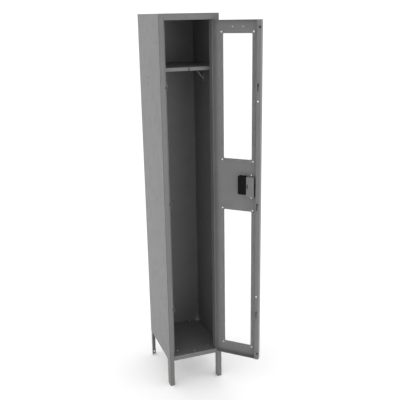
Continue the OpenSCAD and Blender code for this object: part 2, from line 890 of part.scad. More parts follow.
// The cover over the link arm: a shallow box, open towards the sheet and at both sides.
module latch_cover() {
    low = cover_z - cover_h / 2;
    high = cover_z + cover_h / 2;
    tab_w = 13;
    color(frame_grey)
        on_door()
            difference() {
                union() {
                    box([cover_x0, skin_in, low], [cover_x1, cover_d, high]);
                    box([cover_rivet_x - tab_w / 2, skin_in, low - cover_tab],
                        [cover_rivet_x + tab_w / 2, skin_in + cover_t, high + cover_tab]);
                }
                box([cover_x0 + cover_t, skin_in - 1, low + cover_t],
                    [cover_x1 - cover_t, cover_d - cover_t, high - cover_t]);
                box([cover_x0 - 1, arm_back - 0.6, handle_z + arm_dz - arm_h / 2 - arm_clear],
                    [cover_x1 + 1, arm_back + arm_t + 0.6, handle_z + arm_dz + arm_h / 2 + lift_travel + arm_clear]);
                front_slab(cover_x1 - 9, handle_z - 17, 5, 25, 2.4, cover_d - 3, cover_d + 1);
                for (dz = [-39, 22])
                    pin_y(cover_x1 - 12, handle_z + dz, 3, cover_d - 3, cover_d + 1);
                for (s = [-1, 1])
                    hole_y(cover_rivet_x, cover_z + s * cover_rivet_dz, skin_in, skin_in + cover_t);
            }
}

module latch_cover_rivets() {
    color(steel)
        on_door()
            for (s = [-1, 1])
                rivet_y(cover_rivet_x, cover_z + s * cover_rivet_dz, 0, skin_in + cover_t);
}

// Nylon buttons that keep the lock bar in its channel and let it slide.
module lock_bar_guides() {
    color("#e8e8e4")
        on_door()
            for (z = guide_zs)
                translate([guide_x, bar_back - 2.5, z])
                    rotate([-90, 0, 0]) {
                        cylinder(d = 12, h = 2.2);
                        cylinder(d = guide_shank_d, h = door_d - bar_back + 2.5);
                        translate([0, 0, bar_t + 2.8]) cylinder(d = 11, h = door_d - door_t - bar_front - 0.3);
                        translate([0, 0, door_d - bar_back + 2.5]) cylinder(d = 8, h = 1.5);
                    }
}

// Rubber buttons that meet the strike.
module door_bumpers() {
    color(black)
        on_door()
            for (z = bumper_zs)
                translate([bumper_x, door_d, z])
                    rotate([-90, 0, 0]) {
                        translate([0, 0, -door_t]) cylinder(d = rivet_d, h = door_t + 1);
                        translate([0, 0, -door_t - 1]) cylinder(d = rivet_d + 2, h = 1);
                        cylinder(d1 = 10, d2 = 8, h = bumper_h);
                    }
}

// ---- Sliding latch ----

module link_arm() {
    z = handle_z + arm_dz;
    color(steel)
        on_door()
            difference() {
                front_slab(arm_x0, z - arm_h / 2, arm_x1 - arm_x0, arm_h, 4, arm_back, arm_back + arm_t);
                for (dz = [-link_rivet_dz, link_rivet_dz]) {
                    hole_y(bar_rivet_x, z + dz, arm_back, arm_back + arm_t);
                    hole_y(handle_rivet_x, z + dz, arm_back, arm_back + arm_t);
                }
            }
}

// The finger piece: a plate in the cup with a ledge to lift by, sunk round its rivets.
module lift_handle() {
    z = handle_z + arm_dz;
    half = cup_w / 2 - cup_t - 1.5;
    face = arm_back - handle_plate_t;
    color(black)
        on_door()
            difference() {
                union() {
                    front_slab(recess_x - half, z - 24, 2 * half, 44, 4, face, arm_back);
                    translate([recess_x - half, 0, 0])
                        rotate([90, 0, 90])
                            linear_extrude(height = 2 * half)
                                polygon([
                                    [face + hair, z - 6], [face + hair, z + 8],
                                    [5, z + 3], [2, z - 3], [2, z - 10], [4, z - 10], [6, z - 5]
                                ]);
                }
                for (dz = [-link_rivet_dz, link_rivet_dz]) {
                    hole_y(handle_rivet_x, z + dz, face, arm_back);
                    pin_y(handle_rivet_x, z + dz, link_head_d + 2 * slip, face - 20, face);
                }
            }
}

module lock_bar() {
    color(steel)
        on_door()
            difference() {
                box([bar_x0, bar_back, door_z0 + bar_end_gap],
                    [bar_x0 + bar_w, bar_front, door_z1 - bar_end_gap - lift_travel]);
                for (i = [0 : 2])
                    front_slab(hook_x - slot_w / 2, hook_z(i) + hook_arm_top + catch_gap - bar_slot_h,
                        slot_w, bar_slot_h, 2, bar_back - 1, bar_front + 1);
                for (z = guide_zs)
                    front_slab(guide_x - guide_shank_d / 2 - slip, z - guide_shank_d / 2 - lift_travel - slip,
                        guide_shank_d + 2 * slip, guide_shank_d + lift_travel + 2 * slip, 2.4,
                        bar_back - 1, bar_front + 1);
                for (dz = [-link_rivet_dz, link_rivet_dz])
                    hole_y(bar_rivet_x, handle_z + arm_dz + dz, bar_back, bar_front);
            }
}

module link_rivets() {
    z = handle_z + arm_dz;
    color(steel)
        on_door()
            for (dz = [-link_rivet_dz, link_rivet_dz]) {
                translate([bar_rivet_x, arm_back, z + dz])
                    rotate([-90, 0, 0])
                        rivet(arm_t + bar_t, rivet_d, link_head_d, 1);
                translate([handle_rivet_x, arm_back - handle_plate_t, z + dz])
                    rotate([-90, 0, 0])
                        rivet(arm_t + handle_plate_t, rivet_d, link_head_d, 1);
            }
}

// ---- Parts ----

side_panel(-1);  // left_side_panel
side_panel(1);  // right_side_panel
back_panel();
top_panel();
bottom_panel();
upright(-1);  // left_upright
upright(1);  // right_upright
top_rail();
bottom_rail();
rear_leg(-1);  // rear_left_leg
rear_leg(1);  // rear_right_leg
hat_shelf();
coat_hook(-1);  // coat_hook_left
coat_hook(1);  // coat_hook_right
latch_hook(0);  // latch_hook_bottom
latch_hook(1);  // latch_hook_middle
latch_hook(2);  // latch_hook_top
hinge_frame_leaf(0);  // hinge_frame_leaf_bottom
hinge_frame_leaf(1);  // hinge_frame_leaf_middle
hinge_frame_leaf(2);  // hinge_frame_leaf_top
hinge_pin(0);  // hinge_pin_bottom
hinge_pin(1);  // hinge_pin_middle
hinge_pin(2);  // hinge_pin_top
upright_rivets();
back_rivets();
shelf_rivets();
floor_rivets();
coat_hook_rivets();
latch_hook_rivets();
door_panel();
hinge_door_leaf(0);  // hinge_door_leaf_bottom
hinge_door_leaf(1);  // hinge_door_leaf_middle
hinge_door_leaf(2);  // hinge_door_leaf_top
pane(upper_window_z, upper_window_h);  // upper_window
pane(lower_window_z, lower_window_h);  // lower_window
window_rivets();
number_plate();
number_plate_rivets();
handle_cup();
handle_cup_screws();
latch_cover();
latch_cover_rivets();
lock_bar_guides();
door_bumpers();
lift_handle();
link_arm();
lock_bar();
link_rivets();
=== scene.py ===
"""A tall single-tier steel locker on legs, with its windowed door standing open.

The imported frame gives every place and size. The classes here give each sheet its finish, and model by hand
the pressed, moulded, turned and riveted pieces that stand for their plain solids.
"""

import json
import logging
import math
from dataclasses import dataclass
from enum import Enum
from typing import Callable, Optional, Sequence

import bpy
import numpy as np
from mathutils import Matrix, Vector


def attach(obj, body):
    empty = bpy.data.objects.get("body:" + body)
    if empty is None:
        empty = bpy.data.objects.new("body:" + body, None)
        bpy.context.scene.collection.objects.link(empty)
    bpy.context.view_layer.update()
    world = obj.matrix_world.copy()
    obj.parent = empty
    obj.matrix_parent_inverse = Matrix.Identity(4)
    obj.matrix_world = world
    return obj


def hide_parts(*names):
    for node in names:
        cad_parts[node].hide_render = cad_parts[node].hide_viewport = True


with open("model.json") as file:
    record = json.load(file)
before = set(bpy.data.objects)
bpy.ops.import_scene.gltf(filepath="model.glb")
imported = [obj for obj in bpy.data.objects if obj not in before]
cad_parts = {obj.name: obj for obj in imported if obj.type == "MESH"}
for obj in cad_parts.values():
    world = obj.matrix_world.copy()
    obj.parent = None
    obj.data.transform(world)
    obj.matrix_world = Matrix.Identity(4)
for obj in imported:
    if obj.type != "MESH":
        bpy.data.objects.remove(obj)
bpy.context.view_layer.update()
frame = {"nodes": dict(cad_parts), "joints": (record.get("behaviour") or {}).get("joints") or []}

log = logging.getLogger("locker")
MM = 0.001
CLOSE = 1e-5  # how near two places have to be to count as one, in metres

Piece = bpy.types.Object
Tree = bpy.types.NodeTree
Node = bpy.types.Node
Socket = bpy.types.NodeSocket


# ---- Places taken from the frame ----


@dataclass(frozen=True)
class Extent:
    """A box in metres: its lowest and its highest corner."""

    low: Vector
    high: Vector

    @property
    def centre(self) -> Vector:
        """The middle of the box."""
        return (self.low + self.high) / 2

    @property
    def size(self) -> Vector:
        """The box's length along X, Y and Z."""
        return self.high - self.low


def node_points(node: str, undo: Matrix) -> np.ndarray:
    """Reads a CAD node's vertices.

    Args:
        node: the node's name.
        undo: a transform applied to every point, such as the one that closes the door.

    Returns:
        One row of X, Y and Z for each vertex.
    """
    mesh = frame["nodes"][node].data
    flat = np.empty(len(mesh.vertices) * 3)
    mesh.vertices.foreach_get("co", flat)
    turn = np.array(undo)
    return flat.reshape(-1, 3) @ turn[:3, :3].T + turn[:3, 3]


def joint_of(name: str) -> dict:
    """The frame's entry for a joint."""
    return next(joint for joint in frame["joints"] if joint["name"] == name)


def extent_of(points: np.ndarray) -> Extent:
    """Boxes some points."""
    return Extent(Vector(points.min(0)), Vector(points.max(0)))


def solids_of(node: str, undo: Matrix) -> list[Extent]:
    """Boxes each separate solid of a CAD node.

    Args:
        node: the node's name.
        undo: a transform applied to every point first.

    Returns:
        One box for each solid, sorted from the lowest.
    """
    points = node_points(node, undo)
    keys, first = np.unique(np.round(points, 6), axis=0, return_inverse=True)
    first = first.reshape(-1)
    owner = list(range(len(keys)))

    def root(i: int) -> int:
        """Finds the point that stands for a whole solid.

        Args:
            i: any point of the solid.

        Returns:
            The point that every point of the solid leads to.
        """
        while owner[i] != i:
            owner[i] = owner[owner[i]]
            i = owner[i]
        return i

    for polygon in frame["nodes"][node].data.polygons:
        corners = [root(int(first[v])) for v in polygon.vertices]
        for corner in corners[1:]:
            owner[root(corner)] = root(corners[0])
    groups: dict[int, list[int]] = {}
    for i in range(len(keys)):
        groups.setdefault(root(i), []).append(i)
    boxes = [extent_of(keys[members]) for members in groups.values()]
    return sorted(boxes, key=lambda box: tuple(round(v, 4) for v in (box.low.z, box.low.x, box.low.y)))


class Leaf(Enum):
    """Where a piece is modelled: as it stands on the cabinet, or on the door while it is shut."""

    CABINET = "cabinet"
    DOOR = "door"
    LATCH = "latch"

    @property
    def turn(self) -> Matrix:
        """Works out the turn from where a piece is modelled to where it is at rest.

        Returns:
            The transform.
        """
        if self is Leaf.CABINET:
            return Matrix.Identity(4)
        hinge = joint_of("door_hinge")
        pin = Matrix.Translation(Vector(hinge["pos_m"]))
        return pin @ Matrix.Rotation(math.radians(-hinge["range_deg"][0]), 4, "Z") @ pin.inverted()

    def box(self, node: str) -> Extent:
        """The box of a node, with the door shut for what is on it."""
        return extent_of(node_points(node, self.turn.inverted()))

    def boxes(self, node: str) -> list[Extent]:
        """The boxes of a node's solids, with the door shut for what is on it."""
        return solids_of(node, self.turn.inverted())


# ---- Finishes ----

NOISE = "ShaderNodeTexNoise"
SPAN = "ShaderNodeMapRange"
MIX = "ShaderNodeMix"
BUMP = "ShaderNodeBump"
TURN = "ShaderNodeMapping"
SHADER = "ShaderNodeBsdfPrincipled"
MIDDLE = {"From Min": 0.3, "From Max": 0.7}  # the part of a noise's range that its values fill


def per_mm(size: float) -> float:
    """The pattern scale that draws a grain of a real size in millimetres."""
    return 1 / (size * MM)


def linear(colour: str) -> tuple[float, float, float, float]:
    """Turns an sRGB hex colour to linear.

    Args:
        colour: six hex digits after a hash sign.

    Returns:
        Red, green, blue and one for alpha.
    """
    parts = [int(colour[i : i + 2], 16) / 255 for i in (1, 3, 5)]
    r, g, b = [c / 12.92 if c <= 0.04045 else ((c + 0.055) / 1.055) ** 2.4 for c in parts]
    return (r, g, b, 1.0)


def add_node(
    tree: Tree,
    kind: str,
    settings: Optional[dict] = None,
    links: Optional[dict] = None,
) -> Node:
    """Adds a shader node.

    Args:
        tree: the node tree.
        kind: the node's type name.
        settings: input values by name or number, and properties by name.
        links: output sockets by the name or number of the input that each feeds.

    Returns:
        The node.
    """
    node = tree.nodes.new(kind)
    late = {}
    for key, value in (settings or {}).items():
        if isinstance(key, str) and hasattr(node, key) and key not in node.inputs:
            setattr(node, key, value)
        else:
            late[key] = value
    for key, value in late.items():
        node.inputs[key].default_value = value
    for key, socket in (links or {}).items():
        tree.links.new(socket, node.inputs[key])
    return node


def start(name: str, surface: Callable[[Tree, Socket], Node]) -> bpy.types.Material:
    """Makes a material.

    Args:
        name: the material's name.
        surface: adds the finish's nodes to a tree, from the object's own coordinates, and returns its shader.

    Returns:
        The material.
    """
    material = bpy.data.materials.new(name)
    material.use_nodes = True
    tree = material.node_tree
    tree.nodes.clear()
    place = add_node(tree, "ShaderNodeTexCoord").outputs["Object"]
    shader = surface(tree, place)
    add_node(tree, "ShaderNodeOutputMaterial", {}, {"Surface": shader.outputs[0]})
    return material


@dataclass(frozen=True)
class BakedEnamel:
    """Baked enamel sprayed on cold-rolled sheet.

    It gives the eye a satin dark grey, a little uneven where the spray is thin, with fine orange peel that
    breaks up the soft highlights and a slow waviness of the sheet under it.
    """

    name: str = "baked_enamel"
    slot: str = "painted_steel"
    colour: str = "#686767"
    thin: str = "#636262"
    dust: str = "#72716f"
    gloss: float = 0.42
    peel_mm: float = 4.0  # real orange peel is nearer 2 mm, drawn coarser so that it shows
    peel_deep_mm: float = 0.03
    sheet_mm: float = 260.0  # the waviness of the sheet between its folds
    sheet_deep_mm: float = 0.8
    cloud_mm: float = 90.0  # how far the spray's thickness varies
    dust_mm: float = 14.0
    dust_share: float = 0.06  # how much of the dust's colour shows at most
    rub_mm: float = 35.0
    rub_duller: float = 0.04
    rub_glossier: float = 0.03

    def surface(self, tree: Tree, place: Socket) -> Node:
        """Adds the enamel's nodes.

        Args:
            tree: the material's node tree.
            place: the object's own coordinates.

        Returns:
            The shader.
        """
        cloud = add_node(tree, NOISE, {"Scale": per_mm(self.cloud_mm), "Detail": 3.0}, {"Vector": place})
        cover = add_node(tree, SPAN, MIDDLE, {"Value": cloud.outputs[0]})
        paints = {"data_type": "RGBA", 6: linear(self.colour), 7: linear(self.thin)}
        body = add_node(tree, MIX, paints, {0: cover.outputs[0]})
        fleck = add_node(tree, NOISE, {"Scale": per_mm(self.dust_mm), "Detail": 3.0}, {"Vector": place})
        thick_of_it = {"From Min": 0.42, "From Max": 0.58, "To Max": self.dust_share}
        settled = add_node(tree, SPAN, thick_of_it, {"Value": fleck.outputs[0]})
        powder = {"data_type": "RGBA", 7: linear(self.dust)}
        colour = add_node(tree, MIX, powder, {0: settled.outputs[0], 6: body.outputs[2]})
        rub = add_node(tree, NOISE, {"Scale": per_mm(self.rub_mm), "Detail": 4.0}, {"Vector": place})
        sheen = {**MIDDLE, "To Min": self.gloss - self.rub_glossier, "To Max": self.gloss + self.rub_duller}
        satin = add_node(tree, SPAN, sheen, {"Value": rub.outputs[0]})
        swell = add_node(tree, NOISE, {"Scale": per_mm(self.sheet_mm), "Detail": 1.0}, {"Vector": place})
        waves = {"Distance": self.sheet_deep_mm * MM, "Strength": 0.25}
        sheet = add_node(tree, BUMP, waves, {"Height": swell.outputs[0]})
        orange = add_node(tree, NOISE, {"Scale": per_mm(self.peel_mm), "Detail": 1.0}, {"Vector": place})
        dimples = {"Distance": self.peel_deep_mm * MM, "Strength": 0.12}
        peel = add_node(tree, BUMP, dimples, {"Height": orange.outputs[0], "Normal": sheet.outputs[0]})
        return add_node(
            tree,
            SHADER,
            {"Metallic": 0.0, "IOR": 1.52},
            {"Base Color": colour.outputs[2], "Roughness": satin.outputs[0], "Normal": peel.outputs[0]},
        )


@dataclass(frozen=True)
class ZincPlate:
    """Zinc-plated mild steel, pressed and left bright.

    It gives the eye a cool grey metal with a faint drawn grain along the part, and duller patches where the
    plating has gone off.
    """

    name: str = "zinc_plate"
    slot: str = "zinc_steel"
    bright: str = "#b4b4b2"
    dull: str = "#8f8f8c"
    polished: float = 0.26
    hazed: float = 0.44
    grain_mm: float = 0.9
    grain_deep_mm: float = 0.02
    patch_mm: float = 12.0

    def surface(self, tree: Tree, place: Socket) -> Node:
        """Adds the plating's nodes.

        Args:
            tree: the material's node tree.
            place: the object's own coordinates.

        Returns:
            The shader.
        """
        patch = add_node(tree, NOISE, {"Scale": per_mm(self.patch_mm), "Detail": 3.0}, {"Vector": place})
        worn = add_node(tree, SPAN, MIDDLE, {"Value": patch.outputs[0]})
        metals = {"data_type": "RGBA", 6: linear(self.bright), 7: linear(self.dull)}
        colour = add_node(tree, MIX, metals, {0: worn.outputs[0]})
        haze = add_node(tree, NOISE, {"Scale": per_mm(self.patch_mm / 3), "Detail": 4.0}, {"Vector": place})
        shine = {**MIDDLE, "To Min": self.polished, "To Max": self.hazed}
        rough = add_node(tree, SPAN, shine, {"Value": haze.outputs[0]})
        drawn = add_node(tree, TURN, {"Scale": (1, 1, 0.08)}, {"Vector": place})
        grain = add_node(tree, NOISE, {"Scale": per_mm(self.grain_mm)}, {"Vector": drawn.outputs[0]})
        scratch = {"Distance": self.grain_deep_mm * MM, "Strength": 0.3}
        relief = add_node(tree, BUMP, scratch, {"Height": grain.outputs[0]})
        return add_node(
            tree,
            SHADER,
            {"Metallic": 1.0},
            {"Base Color": colour.outputs[2], "Roughness": rough.outputs[0], "Normal": relief.outputs[0]},
        )


@dataclass(frozen=True)
class RolledAluminium:
    """Rolled aluminium sheet, brushed along its length.

    It gives the eye a pale metal with long fine scratches that stretch the light across the plate.
    """

    name: str = "rolled_aluminium"
    slot: str = "aluminium_plate"
    bright: str = "#f2f2f2"
    dull: str = "#dcdcdd"
    polished: float = 0.24
    brushed: float = 0.42
    brush_mm: float = 0.6
    brush_deep_mm: float = 0.01

    def surface(self, tree: Tree, place: Socket) -> Node:
        """Adds the brushed sheet's nodes.

        Args:
            tree: the material's node tree.
            place: the object's own coordinates.

        Returns:
            The shader.
        """
        long = add_node(tree, TURN, {"Scale": (0.03, 0.03, 1)}, {"Vector": place})
        hairs = {"Scale": per_mm(self.brush_mm), "Detail": 3.0}
        brush = add_node(tree, NOISE, hairs, {"Vector": long.outputs[0]})
        line = add_node(tree, SPAN, MIDDLE, {"Value": brush.outputs[0]})
        metals = {"data_type": "RGBA", 6: linear(self.bright), 7: linear(self.dull)}
        colour = add_node(tree, MIX, metals, {0: line.outputs[0]})
        shine = {"To Min": self.polished, "To Max": self.brushed}
        rough = add_node(tree, SPAN, shine, {"Value": line.outputs[0]})
        scratch = {"Distance": self.brush_deep_mm * MM, "Strength": 0.25}
        relief = add_node(tree, BUMP, scratch, {"Height": brush.outputs[0]})
        return add_node(
            tree,
            SHADER,
            {"Metallic": 1.0},
            {"Base Color": colour.outputs[2], "Roughness": rough.outputs[0], "Normal": relief.outputs[0]},
        )


@dataclass(frozen=True)
class Moulding:
    """A moulded plastic or rubber, or the flat black given to the lock bar and its arm as painted shade.

    It gives the eye one dark or pale colour with a fine eroded grain, and handling marks that are a little
    lighter and shinier.
    """

    name: str
    slot: str
    colour: str
    worn: str
    rough: float
    index: float
    grain_mm: float
    grain_deep_mm: float
    sheen: float = 0.5
    smear_mm: float = 14.0
    rubbed: float = 0.06  # how much smoother the handled places are
    matted: float = 0.08  # and how much rougher the others

    def surface(self, tree: Tree, place: Socket) -> Node:
        """Adds the moulding's nodes.

        Args:
            tree: the material's node tree.
            place: the object's own coordinates.

        Returns:
            The shader.
        """
        smear = add_node(tree, NOISE, {"Scale": per_mm(self.smear_mm), "Detail": 4.0}, {"Vector": place})
        handled = add_node(tree, SPAN, {"From Min": 0.38, "From Max": 0.62}, {"Value": smear.outputs[0]})
        shades = {"data_type": "RGBA", 6: linear(self.colour), 7: linear(self.worn)}
        colour = add_node(tree, MIX, shades, {0: handled.outputs[0]})
        shine = add_node(tree, NOISE, {"Scale": per_mm(self.smear_mm / 2), "Detail": 3.0}, {"Vector": place})
        touch = {**MIDDLE, "To Min": self.rough - self.rubbed, "To Max": self.rough + self.matted}
        rough = add_node(tree, SPAN, touch, {"Value": shine.outputs[0]})
        grain = add_node(tree, NOISE, {"Scale": per_mm(self.grain_mm)}, {"Vector": place})
        pits = {"Distance": self.grain_deep_mm * MM, "Strength": 0.4}
        relief = add_node(tree, BUMP, pits, {"Height": grain.outputs[0]})
        return add_node(
            tree,
            SHADER,
            {"Metallic": 0.0, "IOR": self.index, "Specular IOR Level": self.sheen},
            {"Base Color": colour.outputs[2], "Roughness": rough.outputs[0], "Normal": relief.outputs[0]},
        )


@dataclass(frozen=True)
class ClearSheet:
    """Extruded polycarbonate sheet.

    It gives the eye hardly more than a faint shine: water clear, with wiping marks and a very slow ripple.
    """

    name: str = "clear_sheet"
    slot: str = "clear_polycarbonate"
    colour: str = "#fbfdfd"
    wipe_mm: float = 60.0
    ripple_mm: float = 220.0
    ripple_deep_mm: float = 0.02
    haze: float = 0.02
    body: float = 0.15  # how much of the light meets the sheet, so that the inside stays bright behind it

    def surface(self, tree: Tree, place: Socket) -> Node:
        """Adds the clear sheet's nodes.

        Args:
            tree: the material's node tree.
            place: the object's own coordinates.

        Returns:
            The shader.
        """
        cloth = add_node(tree, TURN, {"Scale": (1, 1, 0.25)}, {"Vector": place})
        streaks = {"Scale": per_mm(self.wipe_mm), "Detail": 5.0}
        wipe = add_node(tree, NOISE, streaks, {"Vector": cloth.outputs[0]})
        rough = add_node(tree, SPAN, {**MIDDLE, "To Max": self.haze}, {"Value": wipe.outputs[0]})
        ripple = add_node(tree, NOISE, {"Scale": per_mm(self.ripple_mm), "Detail": 0.0}, {"Vector": place})
        waves = {"Distance": self.ripple_deep_mm * MM, "Strength": 0.05}
        relief = add_node(tree, BUMP, waves, {"Height": ripple.outputs[0]})
        return add_node(
            tree,
            SHADER,
            {
                "Base Color": linear(self.colour),
                "Metallic": 0.0,
                "IOR": 1.58,
                "Transmission Weight": 1.0,
                "Alpha": self.body,
            },
            {"Roughness": rough.outputs[0], "Normal": relief.outputs[0]},
        )


@dataclass(frozen=True)
class FloorPaint:
    """Pale matt studio floor, which gives the eye an almost even white with soft contact shadows."""

    name: str = "floor_paint"
    slot: str = ""  # the floor isn't part of the record
    colour: str = "#fefefe"
    mark: str = "#fbfbfb"
    mark_mm: float = 400.0
    scuff_mm: float = 150.0
    worn: float = 0.7
    matt: float = 0.85

    def surface(self, tree: Tree, place: Socket) -> Node:
        """Adds the floor paint's nodes.

        Args:
            tree: the material's node tree.
            place: the object's own coordinates.

        Returns:
            The shader.
        """
        mark = add_node(tree, NOISE, {"Scale": per_mm(self.mark_mm), "Detail": 3.0}, {"Vector": place})
        shades = {"data_type": "RGBA", 6: linear(self.colour), 7: linear(self.mark)}
        colour = add_node(tree, MIX, shades, {0: mark.outputs[0]})
        scuff = add_node(tree, NOISE, {"Scale": per_mm(self.scuff_mm), "Detail": 3.0}, {"Vector": place})
        rough = add_node(tree, SPAN, {"To Min": self.worn, "To Max": self.matt}, {"Value": scuff.outputs[0]})
        return add_node(tree, SHADER, {}, {"Base Color": colour.outputs[2], "Roughness": rough.outputs[0]})


class Finish(Enum):
    """The finishes of the locker, each with the record's slot that it belongs to."""

    PAINT = BakedEnamel()
    ZINC = ZincPlate()
    PLATE = RolledAluminium()
    # painted shade: the lock bar and its arm are near black so that the lip slots and the gap beside the
    # latch cover, where they show, read as deep shade
    SHADE_BLACK = Moulding("painted_shade_black", "black_steel", "#0d0d0d", "#161616", 0.42, 1.52, 6.0, 0.01, 0.12)
    ABS = Moulding("moulded_abs", "black_plastic", "#090909", "#111111", 0.5, 1.53, 0.9, 0.03, 0.07)
    NYLON = Moulding("turned_nylon", "white_nylon", "#efeee9", "#e2e0d8", 0.42, 1.53, 1.2, 0.01)
    RUBBER = Moulding("moulded_rubber", "black_rubber", "#0b0b0b", "#141414", 0.78, 1.52, 0.7, 0.03, 0.15)
    CLEAR = ClearSheet()
    FLOOR = FloorPaint()

    @property
    def slot(self) -> str:
        """The record's slot."""
        return self.value.slot

    @property
    def material(self) -> bpy.types.Material:
        """The material, made the first time it is asked for."""
        return bpy.data.materials.get(self.value.name) or start(self.value.name, self.value.surface)


# ---- Steps of modelling by hand ----

PartTest = Callable[[Vector, Vector], bool]
FACING = 0.9  # the cosine up to which a face or an edge counts as being along an axis
SIDEWAYS, BACK, UP = Vector((1, 0, 0)), Vector((0, 1, 0)), Vector((0, 0, 1))
FRONT = -BACK


def take(piece: Piece) -> None:
    """Goes to object mode with only one piece selected.

    Args:
        piece: the piece.
    """
    if bpy.context.object and bpy.context.object.mode != "OBJECT":
        bpy.ops.object.mode_set(mode="OBJECT")
    bpy.ops.object.select_all(action="DESELECT")
    piece.select_set(True)
    bpy.context.view_layer.objects.active = piece


def settle(piece: Piece) -> Piece:
    """Puts a piece's place, turn and scale into its mesh.

    Args:
        piece: the piece.

    Returns:
        The same piece.
    """
    take(piece)
    bpy.ops.object.transform_apply(location=True, rotation=True, scale=True)
    return piece


def block(box: Extent) -> Piece:
    """Starts a piece as a block.

    Args:
        box: the box that it fills.

    Returns:
        The new object.
    """
    bpy.ops.object.select_all(action="DESELECT")
    bpy.ops.mesh.primitive_cube_add(size=1, location=box.centre, scale=box.size)
    return settle(bpy.context.object)


def bar_stock(radius: float, height: float, sides: int = 24) -> Piece:
    """Starts a piece as round stock that stands on the origin.

    Args:
        radius: its radius.
        height: its height.
        sides: how many flats it has.

    Returns:
        The new object.
    """
    bpy.ops.object.select_all(action="DESELECT")
    middle = (0, 0, height / 2)
    bpy.ops.mesh.primitive_cylinder_add(vertices=sides, radius=radius, depth=height, location=middle)
    return settle(bpy.context.object)


def pick_faces(piece: Piece, test: PartTest) -> None:
    """Goes to edit mode with some faces selected.

    Args:
        piece: the piece.
        test: says from a face's centre and normal whether it is wanted.
    """
    take(piece)
    mesh = piece.data
    for group in (mesh.vertices, mesh.edges):
        group.foreach_set("select", [False] * len(group))
    wanted = [test(face.center, face.normal) for face in mesh.polygons]
    mesh.polygons.foreach_set("select", wanted)
    bpy.context.tool_settings.mesh_select_mode = (False, False, True)
    bpy.ops.object.mode_set(mode="EDIT")


def pick_edges(piece: Piece, test: PartTest) -> None:
    """Goes to edit mode with some edges selected.

    Args:
        piece: the piece.
        test: says from an edge's middle and direction whether it is wanted.
    """
    take(piece)
    mesh = piece.data
    for group in (mesh.vertices, mesh.polygons):
        group.foreach_set("select", [False] * len(group))
    wanted = []
    for edge in mesh.edges:
        a, b = (mesh.vertices[i].co for i in edge.vertices)
        wanted.append(test((a + b) / 2, (b - a).normalized()))
    mesh.edges.foreach_set("select", wanted)
    for edge, want in zip(mesh.edges, wanted):
        for i in edge.vertices:
            if want:
                mesh.vertices[i].select = True
    bpy.context.tool_settings.mesh_select_mode = (False, True, False)
    bpy.ops.object.mode_set(mode="EDIT")


def shift(x: float = 0, y: float = 0, z: float = 0) -> None:
    """Moves what is selected in edit mode."""
    bpy.ops.transform.translate(value=(x, y, z))


def draw_out(x: float = 0, y: float = 0, z: float = 0) -> None:
    """Extrudes what is selected in edit mode."""
    bpy.ops.mesh.extrude_region_move(TRANSFORM_OT_translate={"value": (x, y, z)})


def squeeze(scale: Sequence[float], about: Vector) -> None:
    """Scales what is selected in edit mode about a point."""
    bpy.ops.transform.resize(value=tuple(scale), center_override=tuple(about))


def step_in(by: float) -> None:
    """Insets the selected faces."""
    bpy.ops.mesh.inset(thickness=by, use_even_offset=True)


def round_off(by: float, steps: int = 4) -> None:
    """Bevels the selected edges."""
    bpy.ops.mesh.bevel(offset=by, segments=steps, affect="EDGES", clamp_overlap=True)


def leave() -> None:
    """Goes back to object mode."""
    bpy.ops.object.mode_set(mode="OBJECT")


def outward(piece: Piece) -> None:
    """Merges a closed piece's doubles and turns its faces outwards.

    Args:
        piece: the piece.
    """
    pick_faces(piece, lambda centre, normal: True)
    bpy.ops.mesh.remove_doubles(threshold=1e-6)
    bpy.ops.mesh.normals_make_consistent(inside=False)
    leave()


def modify(piece: Piece, kind: str, **settings: object) -> None:
    """Adds a modifier and applies it.

    Args:
        piece: the piece.
        kind: the modifier's type.
        **settings: its properties.
    """
    take(piece)
    modifier = piece.modifiers.new(kind.lower(), kind)
    for name, value in settings.items():
        setattr(modifier, name, value)
    bpy.ops.object.modifier_apply(modifier=modifier.name)


def cut_out(piece: Piece, *tools: Piece) -> None:
    """Cuts tools out of a piece, and throws them away.

    Args:
        piece: the piece.
        *tools: the tools.
    """
    for tool in tools:
        modify(piece, "BOOLEAN", operation="DIFFERENCE", object=tool, solver="EXACT")
        bpy.data.objects.remove(tool)


def soften(piece: Piece, by: float, steps: int = 2, angle: float = 35) -> None:
    """Rounds a piece's sharp edges."""
    modify(piece, "BEVEL", width=by, segments=steps, limit_method="ANGLE", angle_limit=math.radians(angle))


def pointing(place: Vector, way: Vector) -> Matrix:
    """The transform that stands a piece, modelled on the origin along +Z, on a place and points it."""
    return Matrix.Translation(place) @ way.to_track_quat("Z", "Y").to_matrix().to_4x4()


def copy_at(pattern: Piece, where: Matrix) -> Piece:
    """Copies a piece and its mesh to another place.

    Args:
        pattern: the piece, modelled on the origin.
        where: the transform to the other place.

    Returns:
        The copy.
    """
    twin = pattern.copy()
    twin.data = pattern.data.copy()
    bpy.context.scene.collection.objects.link(twin)
    twin.matrix_world = where
    return settle(twin)


def join(pieces: Sequence[Piece]) -> Piece:
    """Joins pieces into the first of them.

    Args:
        pieces: the pieces.

    Returns:
        The joined piece.
    """
    take(pieces[0])
    for piece in pieces:
        piece.select_set(True)
    bpy.ops.object.join()
    return bpy.context.object


def hand_over(
    piece: Piece,
    name: str,
    finish: Finish,
    leaf: Leaf,
    stands_for: Sequence[str] = (),
    smooth: float = 35,
) -> Piece:
    """Finishes a piece: turns it to its place at rest, paints it and ties it to its body.

    Args:
        piece: the piece, as it is modelled.
        name: its name.
        finish: its finish.
        leaf: the body that it rides on.
        stands_for: the CAD nodes that it takes the place of.
        smooth: the angle up to which its faces are shaded smooth.

    Returns:
        The piece.
    """
    piece.matrix_world = leaf.turn @ piece.matrix_world
    settle(piece)
    bpy.ops.object.shade_smooth_by_angle(angle=math.radians(smooth))
    piece.name = name
    piece.data.name = name
    piece.data.materials.clear()
    piece.data.materials.append(finish.material)
    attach(piece, leaf.value)
    finish.slot
    if stands_for:
        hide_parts(*stands_for)
    log.info("%s: %d faces, %s", name, len(piece.data.polygons), finish.slot)
    return piece


